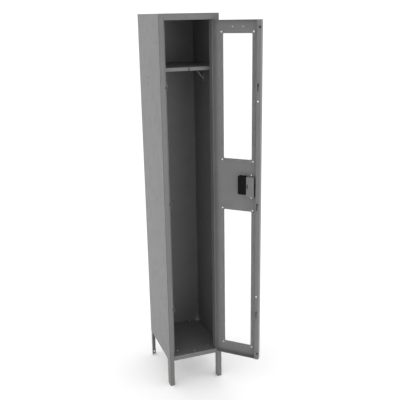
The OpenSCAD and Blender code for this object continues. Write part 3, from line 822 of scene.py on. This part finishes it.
def dress(node: str, finish: Finish) -> None:
    """Gives a CAD node its finish.

    Args:
        node: the node's name.
        finish: the finish.
    """
    piece = frame["nodes"][node]
    if not piece.material_slots:
        piece.data.materials.append(finish.material)
    for slot in piece.material_slots:
        slot.material = finish.material
    log.info("%s keeps its solid, %s", node, finish.slot)


def facing(way: Vector) -> PartTest:
    """A test for the faces that look one way."""
    return lambda centre, normal: normal.dot(way) > FACING


def running(way: Vector) -> PartTest:
    """A test for the edges that run one way."""
    return lambda middle, edge: abs(edge.dot(way)) > FACING


# ---- Rivets and screws ----


class Axis(Enum):
    """The way that a row of rivets points, from its tail to its head."""

    X = (1, 0, 0)
    Y = (0, 1, 0)
    Z = (0, 0, 1)

    @property
    def way(self) -> Vector:
        """The axis as a vector."""
        return Vector(self.value)

    def along(self, corner: Vector) -> float:
        """How far a corner is along the axis."""
        return corner.dot(self.way)


@dataclass(frozen=True)
class BlindRivet:
    """A blind rivet's two ends: a low dome with the hole its stem leaves, and a rounded tail."""

    radius: float
    height: float
    tail_share: float = 0.82  # the tail's radius as a share of the head's

    def dome(self) -> Piece:
        """Models the head: a disc drawn up to a low dome, with the stem's hole in its crown.

        Returns:
            The head, standing on the origin.
        """
        r, h = self.radius, self.height
        head = bar_stock(r, h * 0.3)
        pick_faces(head, facing(UP))
        for inset, rise in ((0.14 * r, 0.32 * h), (0.2 * r, 0.25 * h), (0.22 * r, 0.13 * h)):
            step_in(inset)
            shift(z=rise)
        step_in(0.1 * r)
        shift(z=-0.06 * h)
        draw_out(z=-0.3 * h)
        step_in(0.12 * r)
        shift(z=0.1 * h)
        leave()
        return head

    def tail(self) -> Piece:
        """Models the tail: a narrower bulb, rounded over.

        Returns:
            The tail, standing on the origin.
        """
        r, h = self.radius * self.tail_share, self.height
        bulb = bar_stock(r, h * 0.45)
        pick_faces(bulb, facing(UP))
        for inset, rise in ((0.12 * r, 0.28 * h), (0.2 * r, 0.19 * h), (0.3 * r, 0.08 * h)):
            step_in(inset)
            shift(z=rise)
        leave()
        return bulb


@dataclass(frozen=True)
class RivetRow:
    """The rivets of one node: which way they point and what they are made of.

    A row across the cabinet has its heads on the outside of both walls, whatever head_is_low says.
    """

    node: str
    axis: Axis
    finish: Finish
    leaf: Leaf = Leaf.CABINET
    head_is_low: bool = False
    head_height: float = 1.4 * MM

    def build(self) -> Piece:
        """Models one rivet's ends, and copies them to every rivet of the node.

        Returns:
            The ends, as one piece.
        """
        boxes = self.leaf.boxes(self.node)
        across = [box.size - self.axis.way * self.axis.along(box.size) for box in boxes]
        radius = max(max(size) for size in across) / 2
        rivet = BlindRivet(radius, self.head_height)
        dome, tail = rivet.dome(), rivet.tail()
        copies = []
        for box in boxes:
            ends = []
            for high in (False, True):
                corner = box.high if high else box.low
                inward = -1 if high else 1
                reach = self.axis.along(corner) + inward * self.head_height
                place = box.centre + self.axis.way * (reach - self.axis.along(box.centre))
                ends.append((place, self.axis.way * -inward))
            low, high = ends
            head_is_low = box.centre.x < 0 if self.axis is Axis.X else self.head_is_low
            head, foot = (low, high) if head_is_low else (high, low)
            copies += [copy_at(dome, pointing(*head)), copy_at(tail, pointing(*foot))]
        for pattern in (dome, tail):
            bpy.data.objects.remove(pattern)
        return hand_over(join(copies), self.node + "_ends", self.finish, self.leaf, (self.node,))


@dataclass(frozen=True)
class PanScrew:
    """A pan-head screw with a cross recess."""

    radius: float = 3.5 * MM
    height: float = 1.2 * MM
    recess: float = 0.9 * MM
    cross: float = 0.62  # the cross's reach as a share of the radius
    cross_floor: float = 0.35  # how high its floor is as a share of the height

    def build(self) -> Piece:
        """Models the head: a disc rounded over at its rim, and a cross cut in its crown.

        Returns:
            The head, standing on the origin.
        """
        head = bar_stock(self.radius, self.height * 0.55, 28)
        pick_faces(head, facing(UP))
        for inset, rise in ((0.1, 0.25), (0.18, 0.15), (0.3, 0.05)):
            step_in(inset * self.radius)
            shift(z=rise * self.height)
        leave()
        reach = self.radius * self.cross
        floor = self.height * self.cross_floor
        for width, depth in ((reach, self.recess / 2), (self.recess / 2, reach)):
            corner = Vector((width, depth, self.height))
            cut_out(head, block(Extent(Vector((-width, -depth, floor)), corner)))
        return head


# ---- Cabinet ----


@dataclass(frozen=True)
class Carcass:
    """The body's sheets, the face frame and the legs, all enamelled after they are joined."""

    sides: tuple[str, ...] = ("left_side_panel", "right_side_panel", "back_panel")
    ends: tuple[str, ...] = ("top_panel", "bottom_panel")
    face: tuple[str, ...] = ("left_upright", "right_upright", "top_rail", "bottom_rail")
    legs: tuple[str, ...] = ("rear_left_leg", "rear_right_leg")
    shelf: str = "hat_shelf"

    def build(self) -> None:
        """Dresses every sheet."""
        for node in (*self.sides, *self.ends, *self.face, *self.legs, self.shelf):
            dress(node, Finish.PAINT)


@dataclass(frozen=True)
class CoatHook:
    """A rod hook: it leaves its wall plate level, rises at a slope and ends in a ball."""

    node: str
    side: int
    rod: float = 3 * MM
    level: float = 7 * MM
    bend: float = 9 * MM
    plate: float = 2 * MM
    plate_height: float = 40 * MM
    plate_corner: float = 4 * MM
    plate_edge: float = 0.5 * MM
    ball: float = 4 * MM
    flat: float = 0.6  # how far the ball's crown is flattened

    def wall_plate(self, box: Extent, wall: float) -> Piece:
        """Models the plate with its rounded corners and edges.

        Args:
            box: the hook's box.
            wall: where the cabinet's wall is along X.

        Returns:
            The plate.
        """
        ends = sorted((wall, wall - self.side * self.plate))
        low = Vector((ends[0], box.low.y, box.low.z))
        plate = block(Extent(low, Vector((ends[1], box.high.y, box.low.z + self.plate_height))))
        pick_edges(plate, running(SIDEWAYS))
        round_off(self.plate_corner, 5)
        leave()
        soften(plate, self.plate_edge, 2)
        return plate

    def bent_rod(self, start: Vector, tip: Vector) -> Piece:
        """Models the rod: a disc drawn out level, spun round its bend and drawn up its slope.

        Args:
            start: the middle of the rod at the wall.
            tip: the middle of the ball.

        Returns:
            The rod.
        """
        inward = -self.side
        across = abs(tip.x - start.x) - self.level
        rise = tip.z - start.z
        lean = math.atan2(rise, across)
        trim = self.bend * math.tan(lean / 2)
        bpy.ops.object.select_all(action="DESELECT")
        turn = (0, math.radians(90) * inward, 0)
        bpy.ops.mesh.primitive_circle_add(
            vertices=20, radius=self.rod, fill_type="NGON", location=start, rotation=turn
        )
        rod = settle(bpy.context.object)
        pick_faces(rod, lambda centre, normal: True)
        draw_out(x=inward * (self.level - trim))
        hub = (start.x + inward * (self.level - trim), start.y, start.z + self.bend)
        bpy.ops.mesh.spin(steps=8, angle=inward * lean, center=hub, axis=(0, 1, 0))
        length = math.hypot(across, rise) - trim
        draw_out(x=inward * length * math.cos(lean), z=length * math.sin(lean))
        leave()
        outward(rod)
        return rod

    def build(self) -> Piece:
        """Models the plate, the rod and the ball, and joins them.

        Returns:
            The hook.
        """
        box = Leaf.CABINET.box(self.node)
        wall = box.high.x if self.side > 0 else box.low.x
        inside = box.low.x if self.side > 0 else box.high.x
        start = Vector((wall, box.centre.y, box.low.z + self.plate_height / 2))
        tip = Vector((inside + self.side * self.ball, box.centre.y, box.high.z - self.ball))
        plate = self.wall_plate(box, wall)
        rod = self.bent_rod(start, tip)
        bpy.ops.object.select_all(action="DESELECT")
        bpy.ops.mesh.primitive_uv_sphere_add(segments=20, ring_count=12, radius=self.ball, location=tip)
        ball = settle(bpy.context.object)
        pick_faces(ball, lambda centre, normal: normal.z > 0.92)
        squeeze((1, 1, self.flat), tip)
        leave()
        hook = join([rod, plate, ball])
        return hand_over(hook, self.node + "_rod", Finish.ZINC, Leaf.CABINET, (self.node,), 40)


@dataclass(frozen=True)
class HingePin:
    """A plain steel pin with a domed head at both ends."""

    node: str
    shank: float = 1.5 * MM
    head: float = 1.0 * MM

    def build(self) -> Piece:
        """Models the pin from round stock, with its ends upset to heads.

        Returns:
            The pin.
        """
        box = Leaf.CABINET.box(self.node)
        radius = box.size.x / 2
        length = box.size.z - 2 * self.head
        pin = bar_stock(self.shank, length, 20)
        for sign in (1, -1):
            pick_faces(pin, facing(sign * UP))
            middle = Vector((0, 0, length if sign > 0 else 0))
            draw_out(z=0)
            squeeze((radius / self.shank, radius / self.shank, 1), middle)
            draw_out(z=sign * self.head * 0.5)
            step_in(radius * 0.25)
            shift(z=sign * self.head * 0.35)
            step_in(radius * 0.3)
            shift(z=sign * self.head * 0.15)
            leave()
        pin.matrix_world = Matrix.Translation((box.centre.x, box.centre.y, box.low.z + self.head))
        return hand_over(settle(pin), self.node + "_turned", Finish.ZINC, Leaf.CABINET, (self.node,))


@dataclass(frozen=True)
class Hinges:
    """Three knuckle hinges: enamelled leaves on turned pins."""

    places: tuple[str, ...] = ("bottom", "middle", "top")

    def build(self) -> None:
        """Dresses the leaves and models the pins."""
        for place in self.places:
            dress(f"hinge_frame_leaf_{place}", Finish.PAINT)
            dress(f"hinge_door_leaf_{place}", Finish.PAINT)
            HingePin(f"hinge_pin_{place}").build()


@dataclass(frozen=True)
class LatchHooks:
    """The three hooks on the frame that the lock bar drops behind."""

    places: tuple[str, ...] = ("bottom", "middle", "top")

    def build(self) -> None:
        """Dresses the hooks."""
        for place in self.places:
            dress(f"latch_hook_{place}", Finish.PAINT)


# ---- Door ----


@dataclass(frozen=True)
class DoorPan:
    """The folded door sheet and its clear panes."""

    panes: tuple[str, ...] = ("upper_window", "lower_window")
    corner: float = 4 * MM
    polish: float = 0.5 * MM
    air: float = 0.15 * MM  # between the pane and the skin that it lies on

    def pane(self, node: str) -> Piece:
        """Models a pane: a sheet with round corners and polished edges.

        Args:
            node: the CAD node that it stands for.

        Returns:
            The pane.
        """
        box = Leaf.DOOR.box(node)
        sheet = block(Extent(box.low + Vector((0, self.air, 0)), box.high))
        pick_edges(sheet, running(BACK))
        round_off(self.corner, 6)
        leave()
        soften(sheet, self.polish, 2, 60)
        return hand_over(sheet, node + "_pane", Finish.CLEAR, Leaf.DOOR, (node,), 30)

    def build(self) -> None:
        """Dresses the door sheet and models its panes."""
        dress("door_panel", Finish.PAINT)
        for node in self.panes:
            self.pane(node)


@dataclass(frozen=True)
class NumberPlate:
    """A blank number plate: a small sheet with a raised border."""

    node: str = "number_plate"
    corner: float = 3 * MM
    border: float = 1.6 * MM
    sunk: float = 0.35 * MM
    edge: float = 0.15 * MM

    def build(self) -> Piece:
        """Models the plate: a block with round corners and a sunk middle.

        Returns:
            The plate.
        """
        plate = block(Leaf.DOOR.box(self.node))
        pick_edges(plate, running(BACK))
        round_off(self.corner, 6)
        leave()
        pick_faces(plate, facing(FRONT))
        step_in(self.border)
        step_in(self.sunk)
        shift(y=self.sunk)
        leave()
        soften(plate, self.edge, 2, 50)
        return hand_over(plate, "number_plate_sheet", Finish.PLATE, Leaf.DOOR, (self.node,))


@dataclass(frozen=True)
class RecessCup:
    """The moulded cup that the lift handle sits in: a flat rim round a deep pocket with soft corners."""

    node: str = "handle_cup"
    rim: float = 8 * MM
    wall: float = 1.5 * MM
    rim_corner: float = 12 * MM
    foot: float = 2 * MM
    fillet: float = 1.2 * MM
    lip: float = 0.6 * MM
    flash: float = 0.3 * MM
    slot_out: float = 3 * MM
    slot_in: float = 4 * MM
    slot_room: float = 0.5 * MM

    def build(self) -> Piece:
        """Models the rim, draws the pocket out of its back, hollows it and cuts the link arm's slot.

        Returns:
            The cup.
        """
        box = Leaf.DOOR.box(self.node)
        back = box.low.y + self.wall
        cup = block(Extent(box.low, Vector((box.high.x, back, box.high.z))))
        pick_edges(cup, running(BACK))
        round_off(self.rim_corner, 10)
        leave()
        pick_faces(cup, facing(BACK))
        step_in(self.rim)
        draw_out(y=box.high.y - back)
        leave()
        pick_faces(cup, facing(FRONT))
        step_in(self.rim + self.wall)
        draw_out(y=box.high.y - self.wall - box.low.y)
        leave()
        inset = self.rim + self.wall / 2
        inner = Extent(box.low + Vector((inset, 0, inset)), box.high - Vector((inset, 0, inset)))
        self.round_loop(cup, box.high.y, self.foot, box)
        self.round_loop(cup, box.high.y - self.wall, self.fillet, box)
        self.round_loop(cup, box.low.y, self.lip, inner)
        soften(cup, self.flash, 2, 60)
        cut_out(cup, self.slot_tool(box))
        return hand_over(cup, "handle_cup_moulding", Finish.ABS, Leaf.DOOR, (self.node,), 40)

    def round_loop(self, cup: Piece, depth: float, radius: float, within: Extent) -> None:
        """Rounds the loop of edges at one depth.

        Args:
            cup: the cup.
            depth: where the loop is along Y.
            radius: the size of the rounding.
            within: the box that the loop is inside.
        """
        pick_edges(
            cup,
            lambda middle, way: abs(middle.y - depth) < CLOSE
            and within.low.x - CLOSE < middle.x < within.high.x + CLOSE
            and within.low.z - CLOSE < middle.z < within.high.z + CLOSE,
        )
        round_off(radius, 3)
        leave()

    def slot_tool(self, box: Extent) -> Piece:
        """Starts a block the size of the link arm's slot in the cup's wall.

        Args:
            box: the cup's box.

        Returns:
            The block.
        """
        arm = Leaf.DOOR.box("link_arm")
        travel = joint_of("latch_lift")["range_m"][1]
        wall = box.low.x + self.rim
        low = Vector((wall - self.slot_out, arm.low.y - self.slot_room, arm.low.z - MM))
        high = Vector((wall + self.slot_in, arm.high.y + self.slot_room, arm.high.z + travel + MM))
        return block(Extent(low, high))


@dataclass(frozen=True)
class LiftHandle:
    """The finger piece: a plate with a hooked ledge, sunk round its two rivets."""

    node: str = "lift_handle"
    plate: float = 3 * MM
    corner: float = 4 * MM
    sink: float = 3.8 * MM
    ledge_up: float = 24 * MM  # from the plate's lower end to the ledge
    ledge_below: float = 6 * MM
    ledge_above: float = 8 * MM
    hook_drop: float = 4.5 * MM
    hook_share: float = 0.32  # how much of the ledge's reach turns down
    edge: float = 0.8 * MM

    def build(self) -> Piece:
        """Models the plate, draws its ledge out and down, and sinks the rivets.

        Returns:
            The handle.
        """
        box = Leaf.LATCH.box(self.node)
        face = box.high.y - self.plate
        plate = block(Extent(Vector((box.low.x, face, box.low.z)), box.high))
        pick_edges(plate, running(BACK))
        round_off(self.corner, 5)
        leave()
        middle = box.low.z + self.ledge_up
        low, high = middle - self.ledge_below, middle + self.ledge_above
        for height in (low, high):
            pick_faces(plate, lambda centre, normal: True)
            bpy.ops.mesh.bisect(plane_co=(0, 0, height), plane_no=(0, 0, 1))
            leave()
        pick_faces(plate, lambda centre, normal: normal.y < -FACING and low < centre.z < high)
        reach = face - box.low.y
        about = Vector((box.centre.x, 0, middle + MM))
        for share, drop, narrow in ((0.4, 1.0, 0.72), (0.3, 1.4, 0.78), (0.3, 1.6, 0.8)):
            draw_out(y=-reach * share)
            squeeze((1, 1, narrow), about)
            shift(z=-drop * MM)
        leave()
        tip = box.low.y + self.hook_share * reach
        pick_faces(plate, lambda centre, normal: normal.z < -0.5 and centre.y < tip)
        draw_out(z=-self.hook_drop)
        leave()
        soften(plate, self.edge, 3, 32)
        tools = []
        for rivet in Leaf.LATCH.boxes("link_rivets"):
            if rivet.low.y < face:
                tool = bar_stock(self.sink, 30 * MM)
                place = Vector((rivet.centre.x, face, rivet.centre.z))
                tool.matrix_world = pointing(place, FRONT)
                tools.append(settle(tool))
        cut_out(plate, *tools)
        return hand_over(plate, "lift_handle_moulding", Finish.ABS, Leaf.LATCH, (self.node,))


@dataclass(frozen=True)
class LatchCover:
    """The pressed cover over the link arm: a shallow box with a tab at each end."""

    node: str = "latch_cover"
    sheet: float = 1.2 * MM
    tab: float = 12 * MM
    tab_width: float = 13 * MM
    tab_corner: float = 3 * MM
    fold: float = 2.2 * MM
    arm_room: float = 0.6 * MM
    window_from: tuple[float, float] = (-9 * MM, -17 * MM)  # from the box's edge and the cup's middle
    window_to: tuple[float, float] = (-4 * MM, 8 * MM)
    window_corner: float = 2.4 * MM
    hole: float = 1.5 * MM
    hole_in: float = 12 * MM
    holes_up: tuple[float, float] = (-39 * MM, 22 * MM)  # from the cup's middle
    through: float = 3 * MM

    def build(self) -> Piece:
        """Models the box and its tabs, and cuts its slots.

        Returns:
            The cover.
        """
        box = Leaf.DOOR.box(self.node)
        low = box.low + Vector((0, 0, self.tab))
        high = box.high - Vector((0, 0, self.tab))
        shell = block(Extent(low, high))
        pick_edges(shell, lambda middle, way: middle.y > high.y - CLOSE or abs(way.y) > FACING)
        round_off(self.fold, 4)
        leave()
        pick_faces(shell, facing(FRONT))
        bpy.ops.mesh.delete(type="FACE")
        leave()
        modify(shell, "SOLIDIFY", thickness=self.sheet, offset=-1.0, use_even_offset=True)
        arm = Leaf.LATCH.box("link_arm")
        cup = Leaf.DOOR.box("handle_cup")
        travel = joint_of("latch_lift")["range_m"][1]
        slot = Extent(
            Vector((low.x - MM, arm.low.y - self.arm_room, arm.low.z - MM)),
            Vector((high.x + MM, arm.high.y + self.arm_room, arm.high.z + travel + MM)),
        )
        (left, foot), (right, head) = self.window_from, self.window_to
        window = block(
            Extent(
                Vector((high.x + left, high.y - self.through, cup.centre.z + foot)),
                Vector((high.x + right, high.y + MM, cup.centre.z + head)),
            )
        )
        pick_edges(window, running(BACK))
        round_off(self.window_corner, 5)
        leave()
        holes = []
        for rise in self.holes_up:
            hole = bar_stock(self.hole, 2 * self.through, 16)
            place = Vector((high.x - self.hole_in, high.y - self.through, cup.centre.z + rise))
            hole.matrix_world = pointing(place, BACK)
            holes.append(settle(hole))
        cut_out(shell, block(slot), window, *holes)
        pieces = [shell]
        for at in (box.low.z, high.z):
            tab = block(
                Extent(
                    Vector((box.centre.x - self.tab_width / 2, low.y, at)),
                    Vector((box.centre.x + self.tab_width / 2, low.y + self.sheet, at + self.tab)),
                )
            )
            outer = box.low.z if at == box.low.z else box.high.z
            pick_edges(tab, lambda middle, way: abs(way.y) > FACING and abs(middle.z - outer) < CLOSE)
            round_off(self.tab_corner, 4)
            leave()
            pieces.append(tab)
        return hand_over(join(pieces), "latch_cover_pressing", Finish.PAINT, Leaf.DOOR, (self.node,), 40)


@dataclass(frozen=True)
class CupScrews:
    """The two cross-recess screws that hold the cup's rim."""

    node: str = "handle_cup_screws"

    def build(self) -> Piece:
        """Models one screw's head, and copies it to each end of both screws.

        Returns:
            The heads, as one piece.
        """
        boxes = Leaf.DOOR.boxes(self.node)
        screw = PanScrew(boxes[0].size.x / 2)
        head = screw.build()
        copies = []
        for box in boxes:
            front = Vector((box.centre.x, box.low.y + screw.height, box.centre.z))
            back = Vector((box.centre.x, box.high.y - screw.height, box.centre.z))
            copies.append(copy_at(head, pointing(front, FRONT)))
            copies.append(copy_at(head, pointing(back, BACK)))
        bpy.data.objects.remove(head)
        return hand_over(join(copies), "handle_cup_screw_heads", Finish.ZINC, Leaf.DOOR, (self.node,))


@dataclass(frozen=True)
class BarGuides:
    """Nylon studs that hold the lock bar in its channel: a washer, a shank and a slotted head."""

    node: str = "lock_bar_guides"
    washer_height: float = 2.2 * MM
    washer_edge: float = 0.5 * MM
    shank: float = 2.5 * MM
    collar_up: float = 4.5 * MM
    collar: float = 5.5 * MM
    neck_height: float = 1.8 * MM
    head: float = 4 * MM
    head_height: float = 1.5 * MM
    slot_width: float = 1 * MM
    slot_deep: float = 0.6 * MM

    def build(self) -> Piece:
        """Models one stud, and copies it to each place.

        Returns:
            The studs, as one piece.
        """
        boxes = Leaf.DOOR.boxes(self.node)
        length = boxes[0].size.y
        washer = boxes[0].size.x / 2
        neck_low = length - self.head_height - self.neck_height
        stud = bar_stock(washer, self.washer_height, 28)
        pick_faces(stud, facing(UP))
        step_in(self.washer_edge)
        step_in(washer - self.washer_edge - self.shank)
        draw_out(z=self.collar_up - self.washer_height)
        self.widen(self.collar / self.shank, self.collar_up)
        draw_out(z=neck_low - self.collar_up)
        self.widen(self.shank / self.collar, neck_low)
        draw_out(z=self.neck_height)
        self.widen(self.head / self.shank, length - self.head_height)
        draw_out(z=self.head_height * 0.5)
        for inset, rise in ((0.5 * MM, 0.3), (0.9 * MM, 0.2)):
            step_in(inset)
            shift(z=rise * self.head_height)
        leave()
        reach, half = 5 * MM, self.slot_width / 2
        low = Vector((-reach, -half, length - self.slot_deep))
        cut_out(stud, block(Extent(low, Vector((reach, half, length + MM)))))
        studs = []
        for box in boxes:
            place = Vector((box.centre.x, box.low.y, box.centre.z))
            studs.append(copy_at(stud, pointing(place, BACK)))
        bpy.data.objects.remove(stud)
        return hand_over(join(studs), "lock_bar_guide_studs", Finish.NYLON, Leaf.DOOR, (self.node,))

    def widen(self, by: float, height: float) -> None:
        """Makes a shoulder: draws out nothing, and scales the new end about the stud's axis.

        Args:
            by: how many times wider it gets.
            height: where the end is.
        """
        draw_out(z=0)
        squeeze((by, by, 1), Vector((0, 0, height)))


@dataclass(frozen=True)
class Bumpers:
    """Rubber buttons pushed through the lip: a tapered head with a dished face."""

    node: str = "door_bumpers"
    proud: float = 3.2 * MM
    foot: float = 5 * MM
    taper: float = 0.82
    shoulder: float = 0.7 * MM
    dish_in: float = 1.2 * MM
    dish_deep: float = 0.5 * MM

    def build(self) -> Piece:
        """Models one button, and copies it to each place.

        Returns:
            The buttons, as one piece.
        """
        boxes = Leaf.DOOR.boxes(self.node)
        button = bar_stock(self.foot, self.proud, 28)
        top = Vector((0, 0, self.proud))
        pick_faces(button, facing(UP))
        squeeze((self.taper, self.taper, 1), top)
        leave()
        pick_edges(button, lambda middle, way: middle.z > self.proud - CLOSE)
        round_off(self.shoulder, 4)
        leave()
        pick_faces(button, lambda centre, normal: normal.z > FACING and centre.z > self.proud - CLOSE)
        step_in(self.dish_in)
        draw_out(z=-self.dish_deep)
        step_in(self.dish_deep)
        leave()
        buttons = []
        for box in boxes:
            place = Vector((box.centre.x, box.high.y - self.proud, box.centre.z))
            buttons.append(copy_at(button, pointing(place, BACK)))
        bpy.data.objects.remove(button)
        return hand_over(join(buttons), "door_bumper_buttons", Finish.RUBBER, Leaf.DOOR, (self.node,))


@dataclass(frozen=True)
class LockBar:
    """The sliding bar and the arm that lifts it, both black as painted shade, so that the lip slots and the
    gap beside the cover read dark.
    """

    nodes: tuple[str, ...] = ("lock_bar", "link_arm")

    def build(self) -> None:
        """Dresses the bar and the arm in the black that paints the shade of their slots and gap."""
        for node in self.nodes:
            dress(node, Finish.SHADE_BLACK)


# ---- Rivets of the whole locker ----

RIVETS: tuple[RivetRow, ...] = (
    RivetRow("upright_rivets", Axis.X, Finish.PAINT),
    RivetRow("back_rivets", Axis.Y, Finish.PAINT),
    RivetRow("shelf_rivets", Axis.X, Finish.PAINT),
    RivetRow("floor_rivets", Axis.Z, Finish.PLATE),
    RivetRow("coat_hook_rivets", Axis.X, Finish.PAINT),
    RivetRow("latch_hook_rivets", Axis.Y, Finish.PAINT),
    RivetRow("window_rivets", Axis.Y, Finish.PLATE, Leaf.DOOR),
    RivetRow("number_plate_rivets", Axis.Y, Finish.PLATE, Leaf.DOOR, head_is_low=True),
    RivetRow("latch_cover_rivets", Axis.Y, Finish.PLATE, Leaf.DOOR),
    RivetRow("link_rivets", Axis.Y, Finish.ZINC, Leaf.LATCH, head_height=1.0 * MM),
)


# ---- Studio ----


@dataclass(frozen=True)
class SoftBox:
    """A square soft light that looks at a point."""

    name: str
    place: tuple[float, float, float]
    target: tuple[float, float, float]
    side: float
    watts: float
    colour: str = "#ffffff"

    def build(self) -> Piece:
        """Adds the light and aims it.

        Returns:
            The light.
        """
        data = bpy.data.lights.new(self.name, "AREA")
        data.shape = "SQUARE"
        data.size = self.side
        data.energy = self.watts
        data.color = linear(self.colour)[:3]
        lamp = bpy.data.objects.new(self.name, data)
        bpy.context.scene.collection.objects.link(lamp)
        way = Vector(self.place) - Vector(self.target)
        lamp.matrix_world = pointing(Vector(self.place), way)
        return lamp


@dataclass(frozen=True)
class Studio:
    """A plain pale floor, an even pale surround, soft lights and the camera."""

    eye: tuple[float, float, float] = (-1.0012, -3.1198, 1.9779)
    yaw: float = 19.556
    pitch: float = 16.535
    roll: float = -1.034
    lens: float = 56.496
    film: float = 36.0
    floor_reach: float = 60.0
    floor_ring: float = 50.0
    surround: str = "#ffffff"
    surround_strength: float = 1.12
    lights: tuple[SoftBox, ...] = (
        SoftBox("key_light", (-3.6, 0.6, 2.2), (0.0, 0.0, 1.0), 2.4, 14.0),
        SoftBox("front_light", (0.9, -4.2, 1.0), (0.0, 0.0, 0.9), 1.6, 16.0),
        SoftBox("right_light", (3.2, -1.2, 1.4), (0.2, -0.2, 0.9), 1.8, 10.0),
    )

    def camera(self) -> Piece:
        """Adds the camera and makes it the scene's.

        Returns:
            The camera.
        """
        yaw, pitch, roll = (math.radians(v) for v in (self.yaw, self.pitch, self.roll))
        ahead = Vector((math.sin(yaw) * math.cos(pitch), math.cos(yaw) * math.cos(pitch), -math.sin(pitch)))
        level = Vector((math.cos(yaw), -math.sin(yaw), 0))
        up = level.cross(ahead)
        right = math.cos(roll) * level + math.sin(roll) * up
        up = right.cross(ahead)
        data = bpy.data.cameras.new("camera")
        data.sensor_width = self.film
        data.lens = self.lens
        camera = bpy.data.objects.new("camera", data)
        bpy.context.scene.collection.objects.link(camera)
        turn = Matrix((right, up, -ahead)).transposed().to_4x4()
        camera.matrix_world = Matrix.Translation(Vector(self.eye)) @ turn
        bpy.context.scene.camera = camera
        return camera

    def floor(self) -> Piece:
        """Adds the floor: a wide disc with a smaller one inset in its middle.

        Returns:
            The floor.
        """
        bpy.ops.object.select_all(action="DESELECT")
        bpy.ops.mesh.primitive_circle_add(vertices=64, radius=self.floor_reach, fill_type="NGON")
        floor = bpy.context.object
        pick_faces(floor, lambda centre, normal: True)
        step_in(self.floor_ring)
        leave()
        floor.name = "studio_floor"
        floor.data.materials.append(Finish.FLOOR.material)
        return floor

    def world(self) -> None:
        """Fills the surround with an even pale light."""
        world = bpy.data.worlds.new("surround")
        world.use_nodes = True
        tree = world.node_tree
        tree.nodes.clear()
        settings = {"Color": linear(self.surround), "Strength": self.surround_strength}
        back = add_node(tree, "ShaderNodeBackground", settings)
        add_node(tree, "ShaderNodeOutputWorld", links={"Surface": back.outputs[0]})
        bpy.context.scene.world = world

    def build(self) -> None:
        """Adds the camera, the floor, the surround and the lights."""
        self.camera()
        self.floor()
        self.world()
        for light in self.lights:
            light.build()
        bpy.context.scene.view_settings.view_transform = "Standard"


# ---- The whole ----


def main() -> None:
    """Builds every sub-assembly in order."""
    logging.basicConfig(level=logging.INFO, format="%(name)s: %(message)s")
    Studio().build()
    Carcass().build()
    for node, side in (("coat_hook_left", -1), ("coat_hook_right", 1)):
        CoatHook(node, side).build()
    Hinges().build()
    LatchHooks().build()
    DoorPan().build()
    NumberPlate().build()
    RecessCup().build()
    CupScrews().build()
    LatchCover().build()
    BarGuides().build()
    Bumpers().build()
    LiftHandle().build()
    LockBar().build()
    for row in RIVETS:
        row.build()


if __name__ == "__main__":
    main()
